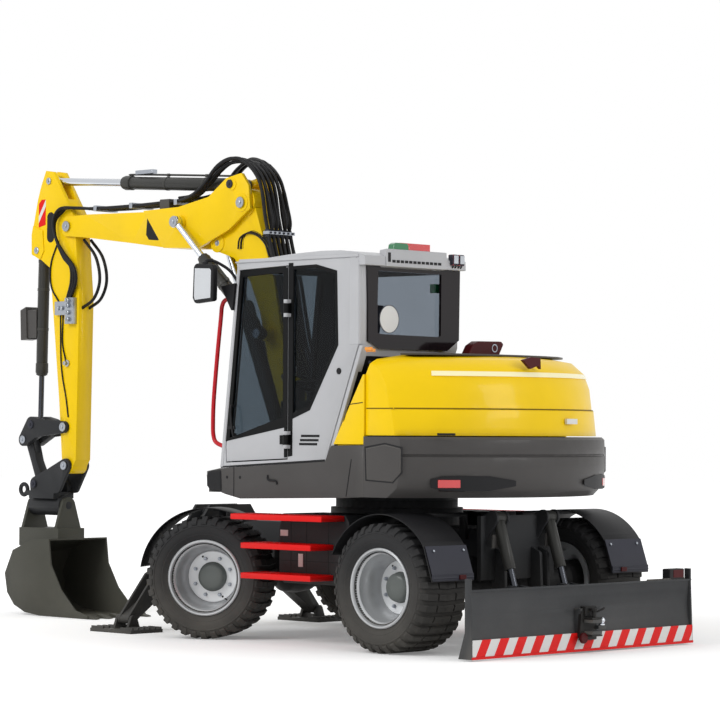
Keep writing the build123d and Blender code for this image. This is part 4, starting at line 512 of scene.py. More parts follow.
# ---- undercarriage
BOX_Y = 0.979
plates = Shape().box((0.222, 0.305), (0.9795, 0.983), (0.822, 0.868))
plates.box((0.058, 0.108), (0.9795, 0.983), (0.59, 0.69))
emit(plates, "blank_plates", WHITE, "chassis", bevel=0.001)
seams = Shape().boxes((-0.36, 0.3), BOX_Y, BOX_Y + 0.0022, (0.632, 0.637))
for x in (-0.215, 0.02, 0.19):
    seams.boxes((x - 0.003, x + 0.003), BOX_Y, BOX_Y + 0.0022, (0.5, 0.935))
emit(seams, "step_box_seams", BLACK, "chassis")
grips = Shape()
for front, rear, height in ((0.606, -0.384, 0.968), (0.49, -0.27, 0.748), (0.49, -0.27, 0.518)):
    count = int((front - rear - 0.06) / 0.03)
    for i in range(count):
        x = rear + 0.03 + i * (front - rear - 0.06) / (count - 1)
        grips.boxes((x - 0.004, x + 0.004), 0.985, 1.222, (height + 0.02, height + 0.0245))
emit(grips, "step_ribs", RED, "chassis")
mud = Shape().boxes((-1.532, -1.52), 0.8, 1.24, (0.548, 0.6))
mud.flanks([(-1.448, 0.8), (-1.53, 0.565), (-1.536, 0.567), (-1.454, 0.802)], 0.8, 1.24)
emit(mud, "flap_panels", SLATE, "chassis", bevel=0.003)
emit(Shape().boxes((-1.545, -1.533), 0.895, 0.962, (0.556, 0.59)), "flap_reflectors", DARK_RED, "chassis",
    bevel=0.003)
bolts = Shape()
for reach in (0.85, 1.17, -0.85, -1.17):
    bolts.disc((-1.47, reach, 0.765), (-0.94, 0, 0.33), 0.01, 0.008, 12)
emit(bolts, "flap_bolts", STEEL, "chassis")
guards = Shape()
for low_y in (0.245, -0.365):
    guards.prism([(low_y, 0.86), (low_y + 0.12, 0.86), (low_y + 0.13, 0.76), (low_y - 0.01, 0.76)], "x",
        -1.334, -1.32)
emit(guards, "rear_guards", BODY_GREY, "chassis", bevel=0.004)

# ---- cab
CAB_Y, CAB_REAR = 1.16, -0.7
PROUD_Y = CAB_Y + 0.0015

# door: black rim round its pane, hinge strip, caps and handle
emit(Shape().border([(0.075, 1.655), (0.735, 1.545), (0.58, 2.866), (0.075, 2.882)],
    [(0.104, 1.735), (0.692, 1.572), (0.552, 2.815), (0.104, 2.834)], "y", CAB_Y - 0.02, PROUD_Y),
    "door_pane_rim", TRIM, "door")
emit(Shape().prism([(0.056, 1.428), (0.086, 1.426), (0.086, 2.872), (0.056, 2.874)], "y", CAB_Y - 0.002,
    CAB_Y + 0.004), "door_hinge_strip", TRIM, "door")
hinge_caps = Shape()
for height in (1.56, 2.56):
    hinge_caps.box((0.046, 0.118), (CAB_Y + 0.003, CAB_Y + 0.0215), (height - 0.035, height + 0.035))
    hinge_caps.turned((0.04, 1.19, height - 0.04), (0, 0, 1), [(0.0225, 0), (0.0225, 0.08)], 20)
emit(hinge_caps, "door_hinge_caps", TRIM, "door", bevel=0.003)
lock = Shape().box((0.625, 0.7), (CAB_Y + 0.001, CAB_Y + 0.012), (1.64, 1.665))
lock.pipe([(0.615, CAB_Y + 0.005, 1.6), (0.62, CAB_Y + 0.035, 1.61), (0.64, CAB_Y + 0.04, 1.8),
    (0.635, CAB_Y + 0.005, 1.82)], 0.009)
emit(lock, "door_handle", BLACK, "door", bevel=0.002)

# side of the cab: post behind the door, rim of the side pane, louvres, lock, sill line, gutter and posts
emit(Shape().prism([(-0.002, 1.44), (0.046, 1.432), (0.046, 2.905), (-0.002, 2.905)], "y", CAB_Y - 0.003,
    CAB_Y + 0.003), "cab_post", TRIM)
emit(Shape().border([(0.012, 1.715), (0.012, 2.88), (-0.25, 2.885), (-0.47, 2.83), (-0.486, 2.271),
    (-0.189, 1.785)], [(-0.008, 1.765), (-0.008, 2.855), (-0.245, 2.86), (-0.446, 2.808), (-0.46, 2.281),
    (-0.176, 1.822)], "y", CAB_Y - 0.01, PROUD_Y), "side_pane_rim", TRIM)
louvres = Shape()
for low_x, high_x, height in ((-0.292, -0.095, 1.592), (-0.282, -0.085, 1.56), (-0.268, -0.075, 1.53)):
    louvres.box((low_x, high_x), (CAB_Y - 0.006, CAB_Y + 0.0012), (height - 0.01, height + 0.008))
emit(louvres, "cab_louvres", BLACK)
emit(Shape().disc((-0.494, CAB_Y - 0.001, 2.077), (0, 1, 0), 0.024, 0.007), "cab_lock", BLACK)
emit(Shape().prism([(0.79, 1.338), (0.79, 1.352), (-0.352, 1.416), (-0.352, 1.402)], "y", CAB_Y - 0.004,
    PROUD_Y), "cab_sill_line", BLACK)
emit(Shape().prism([(0.6, 2.925), (-0.7, 2.925), (-0.7, 2.948), (0.585, 2.952)], "y", CAB_Y - 0.03,
    CAB_Y + 0.012), "cab_gutter", CAB_GREY, bevel=0.004)
emit(Shape().prism([(-0.702, 2.27), (-0.702, 2.9), (-0.66, 2.94), (-0.6, 2.94), (-0.6, 2.27)], "y",
    CAB_Y - 0.03, CAB_Y + 0.004), "cab_rear_post", CAB_GREY, bevel=0.012)
emit(Shape().prism([(0.795, 1.345), (0.762, 1.347), (0.59, 2.88), (0.614, 2.9)], "y", CAB_Y - 0.01,
    CAB_Y + 0.004), "cab_front_post", CAB_GREY, bevel=0.005)
roof = Shape().prism([(0.64, 2.9255), (0.634, 2.936), (0.45, 2.945), (0.28, 2.953), (0.006, 2.973),
    (-0.294, 2.9845), (-0.5, 2.981), (-0.62, 2.969), (-0.7, 2.956), (-0.762, 2.936), (-0.765, 2.864),
    (-0.7015, 2.864), (-0.7015, 2.9255)], "y", 0.048, 1.167)
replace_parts(emit(roof, "roof_skin", CAB_GREY, bevel=0.009, angle=25), "cab_roof")
for x in (0.58, 0.535, 0.49):
    emit(Shape().disc((x, 1.145, 2.936), (0, 0, 1), 0.008, 0.01, 12), f"roof_bolt_{int(x * 1000)}", BLACK)
emit(Shape().prism([(-0.698, 2.268), (-0.36, 1.404), (-0.398, 1.404), (-0.735, 2.262)], "y", 1.085, 1.157),
    "cab_rear_edge", CAB_GREY, bevel=0.006)

# rear pane with its black border, the blank sign, and what is seen behind it
SIGN_AT, SIGN_R = (CAB_REAR - 0.011, 0.85, 2.47), 0.106
emit(Shape().border([(1.07, 2.3), (0.94, 2.245), (0.2, 2.245), (0.065, 2.33), (0.055, 2.905), (1.09, 2.905),
    (1.075, 2.6)], [(0.97, 2.36), (0.9, 2.355), (0.3, 2.35), (0.272, 2.36), (0.268, 2.828), (0.965, 2.828),
    (0.972, 2.6)], "x", CAB_REAR - 0.01, CAB_REAR + 0.012), "rear_pane_border", DARK_BORDER)
emit(Shape().disc(SIGN_AT, (-1, 0, 0), SIGN_R, 0.004, 48), "blank_sign", WHITE)
sign_edge = [(SIGN_R, 0), (SIGN_R, 0.0045), (SIGN_R - 0.005, 0.0045), (SIGN_R - 0.005, 0)]
emit(Shape().turned(SIGN_AT, (-1, 0, 0), sign_edge, 48, loop=True), "sign_rim", SLATE)
emit(Shape().box((-0.64, -0.58), (0.175, 0.26), (2.69, 2.76)), "green_box", GREEN, bevel=0.006)

# bar with the air slots over the rear pane, beacon, work lamps
emit(Shape().prism([(-0.772, 2.862), (-0.7, 2.855), (-0.7, 2.985), (-0.772, 2.994)], "y", 0.275, 0.945),
    "roof_bar", CAB_GREY, bevel=0.006)
slots = Shape().box((-0.7745, -0.77), (0.898, 0.926), (2.895, 2.965))
for i in range(12):
    slots.box((-0.7745, -0.77), (0.34 + i * 0.046, 0.374 + i * 0.046), (2.892, 2.912))
emit(slots, "roof_bar_slots", BLACK)
for name, finish, low_y, high_y in (("green", GREEN, 0.685, 0.855), ("red", LAMP_RED, 0.51, 0.683)):
    dome = Shape().prism([(low_y, 2.986), (high_y, 2.986), (high_y - 0.008, 3.03), (high_y - 0.03, 3.044),
        (low_y + 0.02, 3.044), (low_y + 0.004, 3.03)], "x", -0.76, -0.698)
    emit(dome, f"beacon_{name}", finish, bevel=0.006)
work, lenses = Shape(), Shape()
for y_at in (0.13, 0.2):
    work.box((-0.7975, -0.742), (y_at - 0.03, y_at + 0.03), (2.898, 2.983))
    work.box((-0.748, -0.7), (y_at - 0.011, y_at + 0.011), (2.898, 2.922))
    lenses.box((-0.8035, -0.799), (y_at - 0.024, y_at + 0.024), (2.912, 2.975))
emit(work, "work_lamps", SLATE, bevel=0.008)
emit(lenses, "work_lamp_lenses", LENS, bevel=0.003)
cable = Shape()
for y_at in (0.12, 0.15, 0.185, 0.215):
    cable.pipe([(-0.75, y_at, 2.925), (-0.775, y_at - 0.01, 2.892), (-0.73, y_at - 0.005, 2.868),
        (-0.7, y_at, 2.885)], 0.005, 8)
emit(cable, "lamp_cables", HOSE)

# ---- body: hood, panels, skirts, counterweight
TAIL_R, LAMP_Z = 1.63, 1.248


def round_band(shape, r_low, z_low, r_high, z_high, thick, left, right, steps=40):
    """A band on the hood's round back between two heights and two angles."""
    rings = []
    for i in range(steps + 1):
        t = left + (right - left) * i / steps
        corners = ((r_low + thick, z_low), (r_high + thick, z_high), (r_high - 0.006, z_high),
            (r_low - 0.006, z_low))
        rings.append([(-r * cos(t), r * sin(t), z) for r, z in corners])
    return shape.loft(rings)


# the pale band along the hood's crease is a painted highlight
emit(round_band(Shape(), 1.4845, 2.041, 1.4665, 2.077, 0.004, 0.644, -0.86), "hood_highlight_band", CREASE_HIGHLIGHT, "hood",
    angle=60)
# the groove line is a thin strip of painted shade
groove = round_band(Shape(), 1.539, 1.794, 1.5275, 1.803, 0.0015, 0.83, -0.83)
emit(groove.boxes((-1.04, -0.77), 1.146, 1.1515, (1.793, 1.802)), "hood_shaded_groove_line", GROOVE_SHADE, "hood")
left_edge = [(-0.875, 0.9), (-0.99, 0.84), (-1.1, 0.66), (-1.17, 0.42), (-1.2, 0.15)]
right_edge = [(x, -y) for x, y in reversed(left_edge)]
emit(Shape().prism(right_edge + left_edge, "z", 2.198, 2.214), "hood_top_panel", BODY_GREY, "hood",
    bevel=0.004)
emit(Shape().prism([(0.27, 2.2), (0.215, 2.285), (0.15, 2.318), (-0.115, 2.322), (-0.14, 2.3), (-0.08, 2.2)],
    "x", -0.99, -0.905), "exhaust_cover", DARK_RED, "hood", bevel=0.01)
mouth = [(0.032, 0), (0.032, 0.004), (0.024, 0.004), (0.024, 0)]
emit(Shape().turned((-0.9895, -0.03, 2.268), (-1, 0, 0), mouth, 28, loop=True), "exhaust_mouth", STEEL,
    "hood")
emit(Shape().prism([(0.225, 2.165), (0.13, 2.19), (0.02, 2.186), (0.015, 2.1), (0.05, 2.125), (0.135, 2.1)],
    "x", -1.498, -1.47), "rear_camera_cover", DARK_RED, "hood", bevel=0.004)
emit(Shape().prism([(-0.335, 1.69), (-0.335, 1.73), (-0.215, 1.73), (-0.215, 1.69)], "x", -1.562, -1.54),
    "blank_label_light", WHITE, "hood")
emit(Shape().disc((-0.8, 1.146, 2.14), (0, 1, 0), 0.012, 0.006), "hood_button", BLACK, "hood")
marker = Shape().box((-0.835, -0.765), (1.15, 1.168), (2.226, 2.252))
marker.box((-0.835, -0.765), (1.12, 1.155), (2.215, 2.24))
emit(marker, "amber_marker", AMBER, bevel=0.004)
emit(Shape().prism([(-1.355, 1.006), (-1.43, 0.895), (-1.42, 0.885), (-1.343, 0.998)], "z", 1.599, 1.617),
    "hood_latch", BLACK, "hood")
emit(Shape().flanks([(-0.6, 1.83), (-0.747, 1.845), (-0.747, 1.838), (-0.603, 1.824), (-0.548, 1.7),
    (-0.552, 1.7)], 1.163, 1.1662), "side_panel_crease", BLACK)

# counterweight: raised flank panel and its edge, lamp pockets drawn as painted shade, lamps
emit(Shape().flanks([(-0.79, 1.5), (-0.8, 1.275), (-1.06, 1.262), (-1.14, 1.33), (-1.14, 1.5),
    (-0.98, 1.528)], 1.1665, 1.1735), "weight_flank_panel", BODY_GREY, bevel=0.006)
LIP_R, LENS_R = TAIL_R + 0.0015, TAIL_R + 0.0055
LAMP_CORNERS = ((1.6, 1.212), (1.6, 1.278), (LENS_R, 1.274), (LENS_R, 1.216))


def round_tail(degrees, corners):
    """Points of the counterweight's round tail at an angle, from (radius, z) pairs."""
    t = radians(degrees)
    return [(cos(t) * r, sin(t) * r, z) for r, z in corners]


rims, pocket_shades, lamp_faces = Shape(), Shape(), Shape()
for side in BOTH:
    pocket_rings, lamp_rings = [], []
    rims.border([(-0.772, 1.515), (-0.784, 1.262), (-1.064, 1.248), (-1.156, 1.324), (-1.156, 1.514),
        (-0.982, 1.544)], [(-0.783, 1.505), (-0.794, 1.271), (-1.06, 1.257), (-1.146, 1.328),
        (-1.146, 1.505), (-0.981, 1.534)], "y", *sorted((side * 1.168, side * 1.1715)))
    for degrees, half in ((142, 0.03), (145, 0.05), (150, 0.056), (158, 0.054), (166, 0.02)):
        low, high = LAMP_Z - half, LAMP_Z + half
        pocket_rings.append(round_tail(side * degrees, ((TAIL_R - 0.004, low), (TAIL_R - 0.004, high),
            (LIP_R, high), (LIP_R, low))))
    for step in range(7):
        lamp_rings.append(round_tail(side * (143.9 + step), LAMP_CORNERS))
    pocket_shades.loft(pocket_rings)
    lamp_faces.loft(lamp_rings)
emit(rims, "weight_flank_edge", BLACK)
# black bands beside the lamps are painted shade standing in for their pockets
emit(pocket_shades, "weight_lamp_pocket_shades", BLACK)
emit(lamp_faces, "weight_lamps", LAMP_RED, bevel=0.004)

# skirts: rounded black nose, handle, holes drawn as painted shade, seams
emit(Shape().flanks([(0.76, 1.15), (0.905, 1.165), (0.94, 1.195), (0.944, 1.29), (0.915, 1.318),
    (0.77, 1.33)], 1.12, 1.178), "skirt_nose", BLACK, bevel=0.022)
trims = Shape().flanks([(0.628, 1.345), (0.634, 1.345), (0.634, 1.122), (0.628, 1.122)], 1.168, 1.1725)
trims.flanks([(-0.64, 1.42), (-0.633, 1.42), (-0.58, 1.142), (-0.587, 1.142)], 1.168, 1.1725)
for side in BOTH:
    # black discs: painted shade standing in for the skirt's holes
    for x in (0.708, 0.562):
        trims.disc((x, side * 1.169, 1.268), (0, side, 0), 0.012, 0.0035, 16)
    trims.pipe([(0.255, side * 1.17, 1.29), (0.245, side * 1.176, 1.255), (0.165, side * 1.176, 1.245),
        (0.15, side * 1.17, 1.22)], 0.008)
emit(trims, "skirt_seams_handle_hole_shades", BLACK)

# ---- mirror and handrail
MIRROR_POST = (0.835, 1.296, 2.905)
mirror = Shape().prism([(0.72, 2.63), (0.93, 2.615), (0.955, 2.66), (0.945, 2.905), (0.915, 2.93),
    (0.735, 2.915), (0.712, 2.89)], "y", 1.268, 1.326)
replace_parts(emit(mirror, "mirror_case", BLACK, bevel=0.018), "mirror_left")
emit(Shape().prism([(0.742, 2.655), (0.918, 2.643), (0.928, 2.672), (0.92, 2.89), (0.752, 2.882),
    (0.736, 2.865)], "y", 1.325, 1.3295), "mirror_glass", MIRROR, bevel=0.002)
stalk = Shape().pipe([(0.628, 1.14, 2.78), (0.69, 1.18, 2.875), (0.79, 1.25, 2.945), (0.835, 1.295, 2.94),
    (0.835, 1.296, 2.9)], 0.012)
stalk.turned(MIRROR_POST, (0, 0, 1), [(0.026, 0), (0.026, 0.03), (0.018, 0.036)], 20)
emit(stalk, "mirror_stalk", BLACK)
emit(Shape().prism([(0.612, 2.77), (0.775, 2.75), (0.655, 2.56), (0.64, 2.56)], "y", 1.165, 1.19),
    "mirror_bracket", BLACK, bevel=0.004)
RAIL_Y, RAIL_TOP, RAIL_FOOT = 1.13, (0.628, 2.64), (0.77, 1.5)
rail_run = (RAIL_TOP, (0.7, 2.655), (0.78, 2.645), (0.818, 2.6), (0.832, 2.5), (0.87, 2.21), (0.907, 1.87),
    (0.914, 1.68), (0.908, 1.59), (0.875, 1.535), RAIL_FOOT)
bar = Shape().pipe([(x, RAIL_Y, z) for x, z in rail_run], 0.017, 14, 6)
for x, z in (RAIL_TOP, (RAIL_FOOT[0] + 0.002, RAIL_FOOT[1])):
    bar.disc((x, RAIL_Y - 0.002, z), (0, -1, 0), 0.026, 0.012, 18)
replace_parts(emit(bar, "handrail_bar", RAIL_RED), "handrail")
emit(Shape().prism([(0.13, 2.12), (0.1, 2.12), (0.1, 2.05), (0.13, 2.05)], "y", 1.02, 1.04), "blank_card",
    WHITE)

# ---- boom and arm: pins and fittings
# pins as (x, z)
BOOM_FOOT, LIFT_FOOT, LIFT_PIN, KNEE = (0.8, 1.5), (1.12, 1.18), (1.966, 3.192), (1.63, 3.51)
ADJUST_BASE, ADJUST_PIN, ARM_PIVOT = (1.33, 2.42), (2.36, 3.38), (3.9, 3.42)
ARM_RAM_BASE, ARM_RAM_PIN, ARM_END = (1.764, 3.671), (4.191, 3.838), (3.912, 1.314)
BUCKET_RAM_BASE, BUCKET_RAM_PIN, ROCKER_PIN = (4.344, 3.226), (4.385, 1.675), (3.938, 1.653)
LINK_TOP, LINK_LOW = (4.495, 1.54), (4.325, 1.148)
ARM_SIDE, BOOM_SIDE = 0.083, 0.1145


def pin_ends(name, body, pin, reach, radius, finish=STEEL, thick=0.012):
    """Round caps and a locking nut on both ends of a pin across the machine."""
    ends = Shape()
    for side in BOTH:
        ends.disc((pin[0], side * reach, pin[1]), (0, side, 0), radius, thick, dome=0.002)
        ends.hexagon((pin[0], side * (reach + thick), pin[1]), (0, side, 0), radius * 0.42, 0.009)
    emit(ends, f"{name}_caps", finish, body)


pin_ends("boom_foot", "upper", BOOM_FOOT, 0.183, 0.052, SLATE)
pin_ends("lift_foot", "upper", LIFT_FOOT, 0.173, 0.045, SLATE)
pin_ends("knee", "boom_upper", KNEE, 0.173, 0.046)
pin_ends("arm_ram_base", "boom_upper", ARM_RAM_BASE, 0.166, 0.036, SLATE)
pin_ends("adjust_pin", "boom_upper", ADJUST_PIN, 0.2505, 0.046)
pin_ends("adjust_base", "boom_lower", ADJUST_BASE, 0.263, 0.04)
pin_ends("lift_pin", "boom_lower", LIFT_PIN, 0.111, 0.034, thick=0.005)
pin_ends("arm_pivot", "boom_upper", ARM_PIVOT, 0.127, 0.046)
pin_ends("arm_ram_pin", "arm", ARM_RAM_PIN, 0.084, 0.03)
pin_ends("bucket_ram_base", "arm", BUCKET_RAM_BASE, 0.091, 0.03)
pin_ends("rocker", "arm", ROCKER_PIN, 0.117, 0.04)
pin_ends("bucket_ram_pin", "rocker", BUCKET_RAM_PIN, 0.111, 0.038, SLATE)
pin_ends("link_top", "rocker", LINK_TOP, 0.111, 0.036)
pin_ends("arm_end", "coupler", ARM_END, 0.124, 0.038)
pin_ends("link_low", "coupler", LINK_LOW, 0.124, 0.036, SLATE)

# arm: red and white stripes, an oval opening drawn as painted shade, valve block, stud, pipes
arm_red = Shape().flanks([(4.33, 3.532), (4.33, 3.64), (4.292, 3.676), (4.237, 3.677)], 0.0825, 0.0842)
arm_red.flanks([(4.33, 3.43), (4.33, 3.468), (4.235, 3.61), (4.235, 3.45)], 0.0825, 0.0842)
arm_white = Shape().flanks([(4.33, 3.47), (4.33, 3.53), (4.235, 3.675), (4.235, 3.612)], 0.0825, 0.0842)
emit(arm_red, "arm_stripes_red", RED, "arm")
emit(arm_white, "arm_stripes_white", WHITE, "arm")
# black oval sheets on the arm's flanks are painted shade standing in for the inside of its opening
oval = []
for t in turns(24):
    end = 0.085 if sin(t) > 0 else -0.085
    oval.append((4.165 + 0.05 * cos(t), 3.425 + end + 0.05 * sin(t)))
emit(Shape().flanks(oval, 0.0825, 0.084), "arm_opening_shades", BLACK, "arm")
valve = Shape().box((3.8, 3.905), (ARM_SIDE, 0.135), (2.56, 2.79))
valve.box((3.92, 4.06), (ARM_SIDE, 0.12), (2.64, 2.76))
for z in (2.6, 2.66, 2.72, 2.765):
    valve.turned((3.85, 0.135, z), (0, 1, 0), [(0.02, 0), (0.02, 0.022), (0.012, 0.026), (0.012, 0.04)], 14)
for x in (3.95, 4.0):
    valve.turned((x, 0.12, 2.7), (0, 1, 0), [(0.018, 0), (0.018, 0.02), (0.01, 0.022)], 14)
emit(valve, "arm_valve", STEEL, "arm", bevel=0.003)
stud = [(0.03, 0), (0.03, 0.012), (0.018, 0.016), (0.018, 0.042), (0.012, 0.045)]
emit(Shape().turned((3.92, ARM_SIDE, 2.215), (0, 1, 0), stud, 20), "arm_stud", STEEL, "arm")
thin = Shape().pipe([(3.98, 0.088, 2.64), (3.985, 0.089, 2.4), (3.945, 0.09, 2.26), (3.92, 0.1, 2.215)],
    0.007)
thin.pipe([(4.015, 0.088, 2.64), (4.0, 0.088, 2.2), (3.93, 0.088, 1.9), (3.9, 0.088, 1.74)], 0.007)
thin.pipe([(4.05, 0.088, 3.3), (4.15, 0.088, 3.1), (4.145, 0.088, 2.9), (4.04, 0.089, 2.76)], 0.008)
emit(thin, "arm_pipes", HOSE, "arm")
emit(Shape().flanks([(4.3, 3.14), (4.418, 3.195), (4.421, 3.37), (4.4, 3.45), (4.27, 3.4), (4.25, 3.22)],
    ARM_SIDE, ARM_SIDE + 0.01), "arm_ram_cheeks", YELLOW, "arm", bevel=0.004)

# boom: an opening drawn as painted shade, and bosses
# black sheet on each flank is painted shade standing in for the inside of the boom's opening
emit(Shape().flanks([(2.84, 3.47), (2.655, 3.462), (2.64, 3.3), (2.7, 3.245), (2.82, 3.255), (2.856, 3.3)],
    BOOM_SIDE, BOOM_SIDE + 0.0017), "boom_opening_shades", BLACK, "boom_upper")
boss = Shape().discs(1.743, 0.1598, 3.668, 0.052, 0.006)
boss.discs(KNEE[0], 0.1598, KNEE[1], 0.078, 0.006)
boss.discs(ADJUST_PIN[0], 0.222, ADJUST_PIN[1], 0.056, 0.001)
emit(boss, "boom_bosses", YELLOW, "boom_upper")
lower_boss = Shape().discs(LIFT_PIN[0], 0.1098, LIFT_PIN[1], 0.08, 0.007)
lower_boss.discs(ADJUST_BASE[0], 0.1098, ADJUST_BASE[1], 0.085, 0.01)
emit(lower_boss, "lower_boom_bosses", YELLOW, "boom_lower")

# ---- cylinders: sleeves, bases, pipes
# name, base and tip pin, y of each cylinder, length and radius of the barrel, radius of the rod, body
RAMS = (("lift", LIFT_FOOT, LIFT_PIN, (0.0,), 1.63, 0.068, 0.038, "lift_barrel"),
        ("adjust", ADJUST_BASE, ADJUST_PIN, (-0.222, 0.222), 0.95, 0.048, 0.027, "adjust_barrels"),
        ("arm", ARM_RAM_BASE, ARM_RAM_PIN, (0.0,), 1.506, 0.056, 0.034, "arm_barrel"),
        ("bucket", BUCKET_RAM_BASE, BUCKET_RAM_PIN, (0.0,), 1.11, 0.05, 0.03, "bucket_barrel"))
for ram_name, base, tip, middles, length, barrel, rod, body in RAMS:
    run = Vector((tip[0] - base[0], 0, tip[1] - base[1])).normalized()
    over = Vector((-run.z, 0, run.x))
    if over.z < 0:
        over = -over
    low_at, top_at = over * (barrel + 0.004), over * (barrel + 0.018)
    sleeves, pipes = Shape(), Shape()
    for middle in middles:
        start = Vector((base[0], middle, base[1]))
        sleeves.turned(start + run * (length - 0.11), run, [(barrel - 0.002, 0), (barrel + 0.006, 0.004),
            (barrel + 0.007, 0.085), (barrel * 0.9, 0.108), (rod + 0.006, 0.116), (rod + 0.0015, 0.118)], 36)
        sleeves.turned(start + run * 0.075, run, [(barrel - 0.002, 0), (barrel + 0.004, 0.004),
            (barrel + 0.004, 0.03), (barrel - 0.002, 0.036)], 36)
        pipes.pipe([start + run * 0.11 + low_at, start + run * 0.125 + top_at,
            start + run * (length - 0.16) + top_at, start + run * (length - 0.1) + low_at], 0.009, 10, 5)
        for share in (0.3, 0.62):
            pipes.turned(start + run * length * share, run, [(barrel + 0.001, 0), (barrel + 0.003, 0.001),
                (barrel + 0.003, 0.024), (barrel + 0.001, 0.025)], 32)
            pipes.turned(start + run * length * share + top_at, run, [(0.014, 0), (0.014, 0.025)], 12)
    emit(sleeves, f"{ram_name}_ram_sleeves", RAM_GREY, body)
    emit(pipes, f"{ram_name}_ram_pipes", RAM_GREY, body)
emit(Shape().box((2.88, 3.1), (-0.03, 0.03), (3.835, 3.87)), "arm_ram_block", STEEL, "arm_barrel",
    bevel=0.004)
guard = Shape().prism([(4.52, 2.73), (4.6, 2.7), (4.59, 2.43), (4.505, 2.44)], "y", -0.07, 0.07)
guard.boxes((4.39, 4.52), 0.04, 0.055, (2.45, 2.7))
emit(guard, "bucket_ram_guard", BODY_GREY, "bucket_barrel", bevel=0.006)

# ---- hoses
HOSE_ROWS = (0.025, 0.075, 0.125)
BACK_RUN = ((0.808, 1.837), (0.957, 2.072), (1.08, 2.29), (1.15, 2.56), (1.213, 2.85), (1.262, 2.985),
    (1.308, 3.115), (1.348, 3.26), (1.385, 3.405), (1.412, 3.56), (1.45, 3.675), (1.515, 3.765),
    (1.595, 3.832))
THIN_RUN = ((1.13, 2.3), (1.192, 2.56), (1.262, 2.86), (1.318, 3.0), (1.362, 3.13), (1.345, 3.222),
    (1.312, 3.33), (1.35, 3.48), (1.396, 3.62), (1.462, 3.738), (1.575, 3.826))
# x, distance outwards and z over the knee
THIN_KNEE_RUN = ((1.568, 0, 3.82), (1.65, 0.02, 3.868), (1.78, 0.05, 3.888), (1.92, 0.06, 3.838),
    (2.04, 0.055, 3.742), (2.13, 0.04, 3.65), (2.29, 0.01, 3.608), (2.46, 0, 3.598))


def bundle(name, body, paths, radius, sides=10):
    """Several hoses as one piece."""
    made = Shape()
    for path in paths:
        made.pipe(path, radius, sides)
    return emit(made, name, HOSE, body)


on_boom, over_knee, along_top, thin, thin_over = [], [], [], [], []
for side in BOTH:
    for k, row in enumerate(HOSE_ROWS):
        y, y_out, y_top = side * row, side * (0.085 + 0.034 * k), side * (0.036 + 0.034 * k)
        on_boom.append([(x, y, z) for x, z in BACK_RUN])
        sway = 0.012 * ((k * 2 + (side > 0)) % 3)
        high = sway + (0.0 if side > 0 else 0.026)
        over_knee.append([(1.588, y, 3.827), (1.69, (y + y_out) / 2, 3.856 + sway),
            (1.82, y_out, 3.846 + high), (1.95, y_out, 3.787 + high), (2.075, y_out, 3.7),
            (2.2, y_out, 3.62), (2.35, (y_out + y_top) / 2, 3.58), (2.46, y_top, 3.572)])
        along_top.append([(2.45, y_top, 3.572), (2.85, y_top, 3.56), (3.3, y_top, 3.557),
            (3.62, y_top, 3.562)])
    for y in (0.05, 0.1):
        thin.append([(x, side * y, z) for x, z in THIN_RUN])
        thin_over.append([(x, side * (y + spread_out), z) for x, spread_out, z in THIN_KNEE_RUN])
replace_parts(bundle("lower_boom_hoses", "boom_lower", on_boom, 0.016, 12), "boom_hoses")
bundle("thin_hoses", "boom_lower", thin, 0.011)
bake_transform(bundle("knee_hoses", None, over_knee, 0.0155))
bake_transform(bundle("knee_thin_hoses", None, thin_over, 0.01))
bundle("boom_top_hoses", "boom_upper", along_top, 0.015)

# what holds the hoses: rails with ties up the boom, the block at its foot, clamp and bands on top
rail, ties = Shape(), Shape()
TIE = [(0.019, 0), (0.0215, 0.004), (0.0215, 0.06), (0.019, 0.064)]
for x, z, wall in ((1.345, 3.25, 1.46), (1.235, 2.912, 1.33)):
    rail.box((x - 0.03, x + 0.03), (-0.154, 0.154), (z - 0.013, z + 0.013))
    rail.boxes((x, wall), 0.08, 0.092, (z - 0.013, z + 0.013))
    for y in (side * row for side in BOTH for row in HOSE_ROWS):
        ties.turned((x - 0.002, y, z - 0.034), (0.25, 0, 1), TIE, 14)
        ties.hexagon((x - 0.03, y, z), (-1, 0, 0), 0.01, 0.01)
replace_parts(emit(rail, "hose_rail", STEEL, "boom_lower", bevel=0.002), "boom_hoses")
emit(ties, "hose_ties", SLATE, "boom_lower")
block = Shape().prism([(0.777, 1.818), (0.817, 1.883), (0.85, 1.862), (0.81, 1.797)], "y", -0.154, 0.154)
block.prism([(0.777, 1.818), (0.817, 1.883), (0.911, 1.831), (0.868, 1.764)], "y", -0.095, 0.095)
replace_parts(emit(block, "hose_block", RAM_GREY, "boom_lower", bevel=0.003), "boom_hoses")
emit(Shape().box((2.56, 2.68), (-0.122, 0.122), (3.505, 3.592)), "hose_clamp", BODY_GREY, "boom_upper",
    bevel=0.006)
bands = Shape()
for x in (2.48, 3.05, 3.52):
    bands.box((x - 0.02, x + 0.02), (-0.126, 0.126), (3.535, 3.584))
emit(bands, "hose_bands", STEEL, "boom_upper", bevel=0.004)

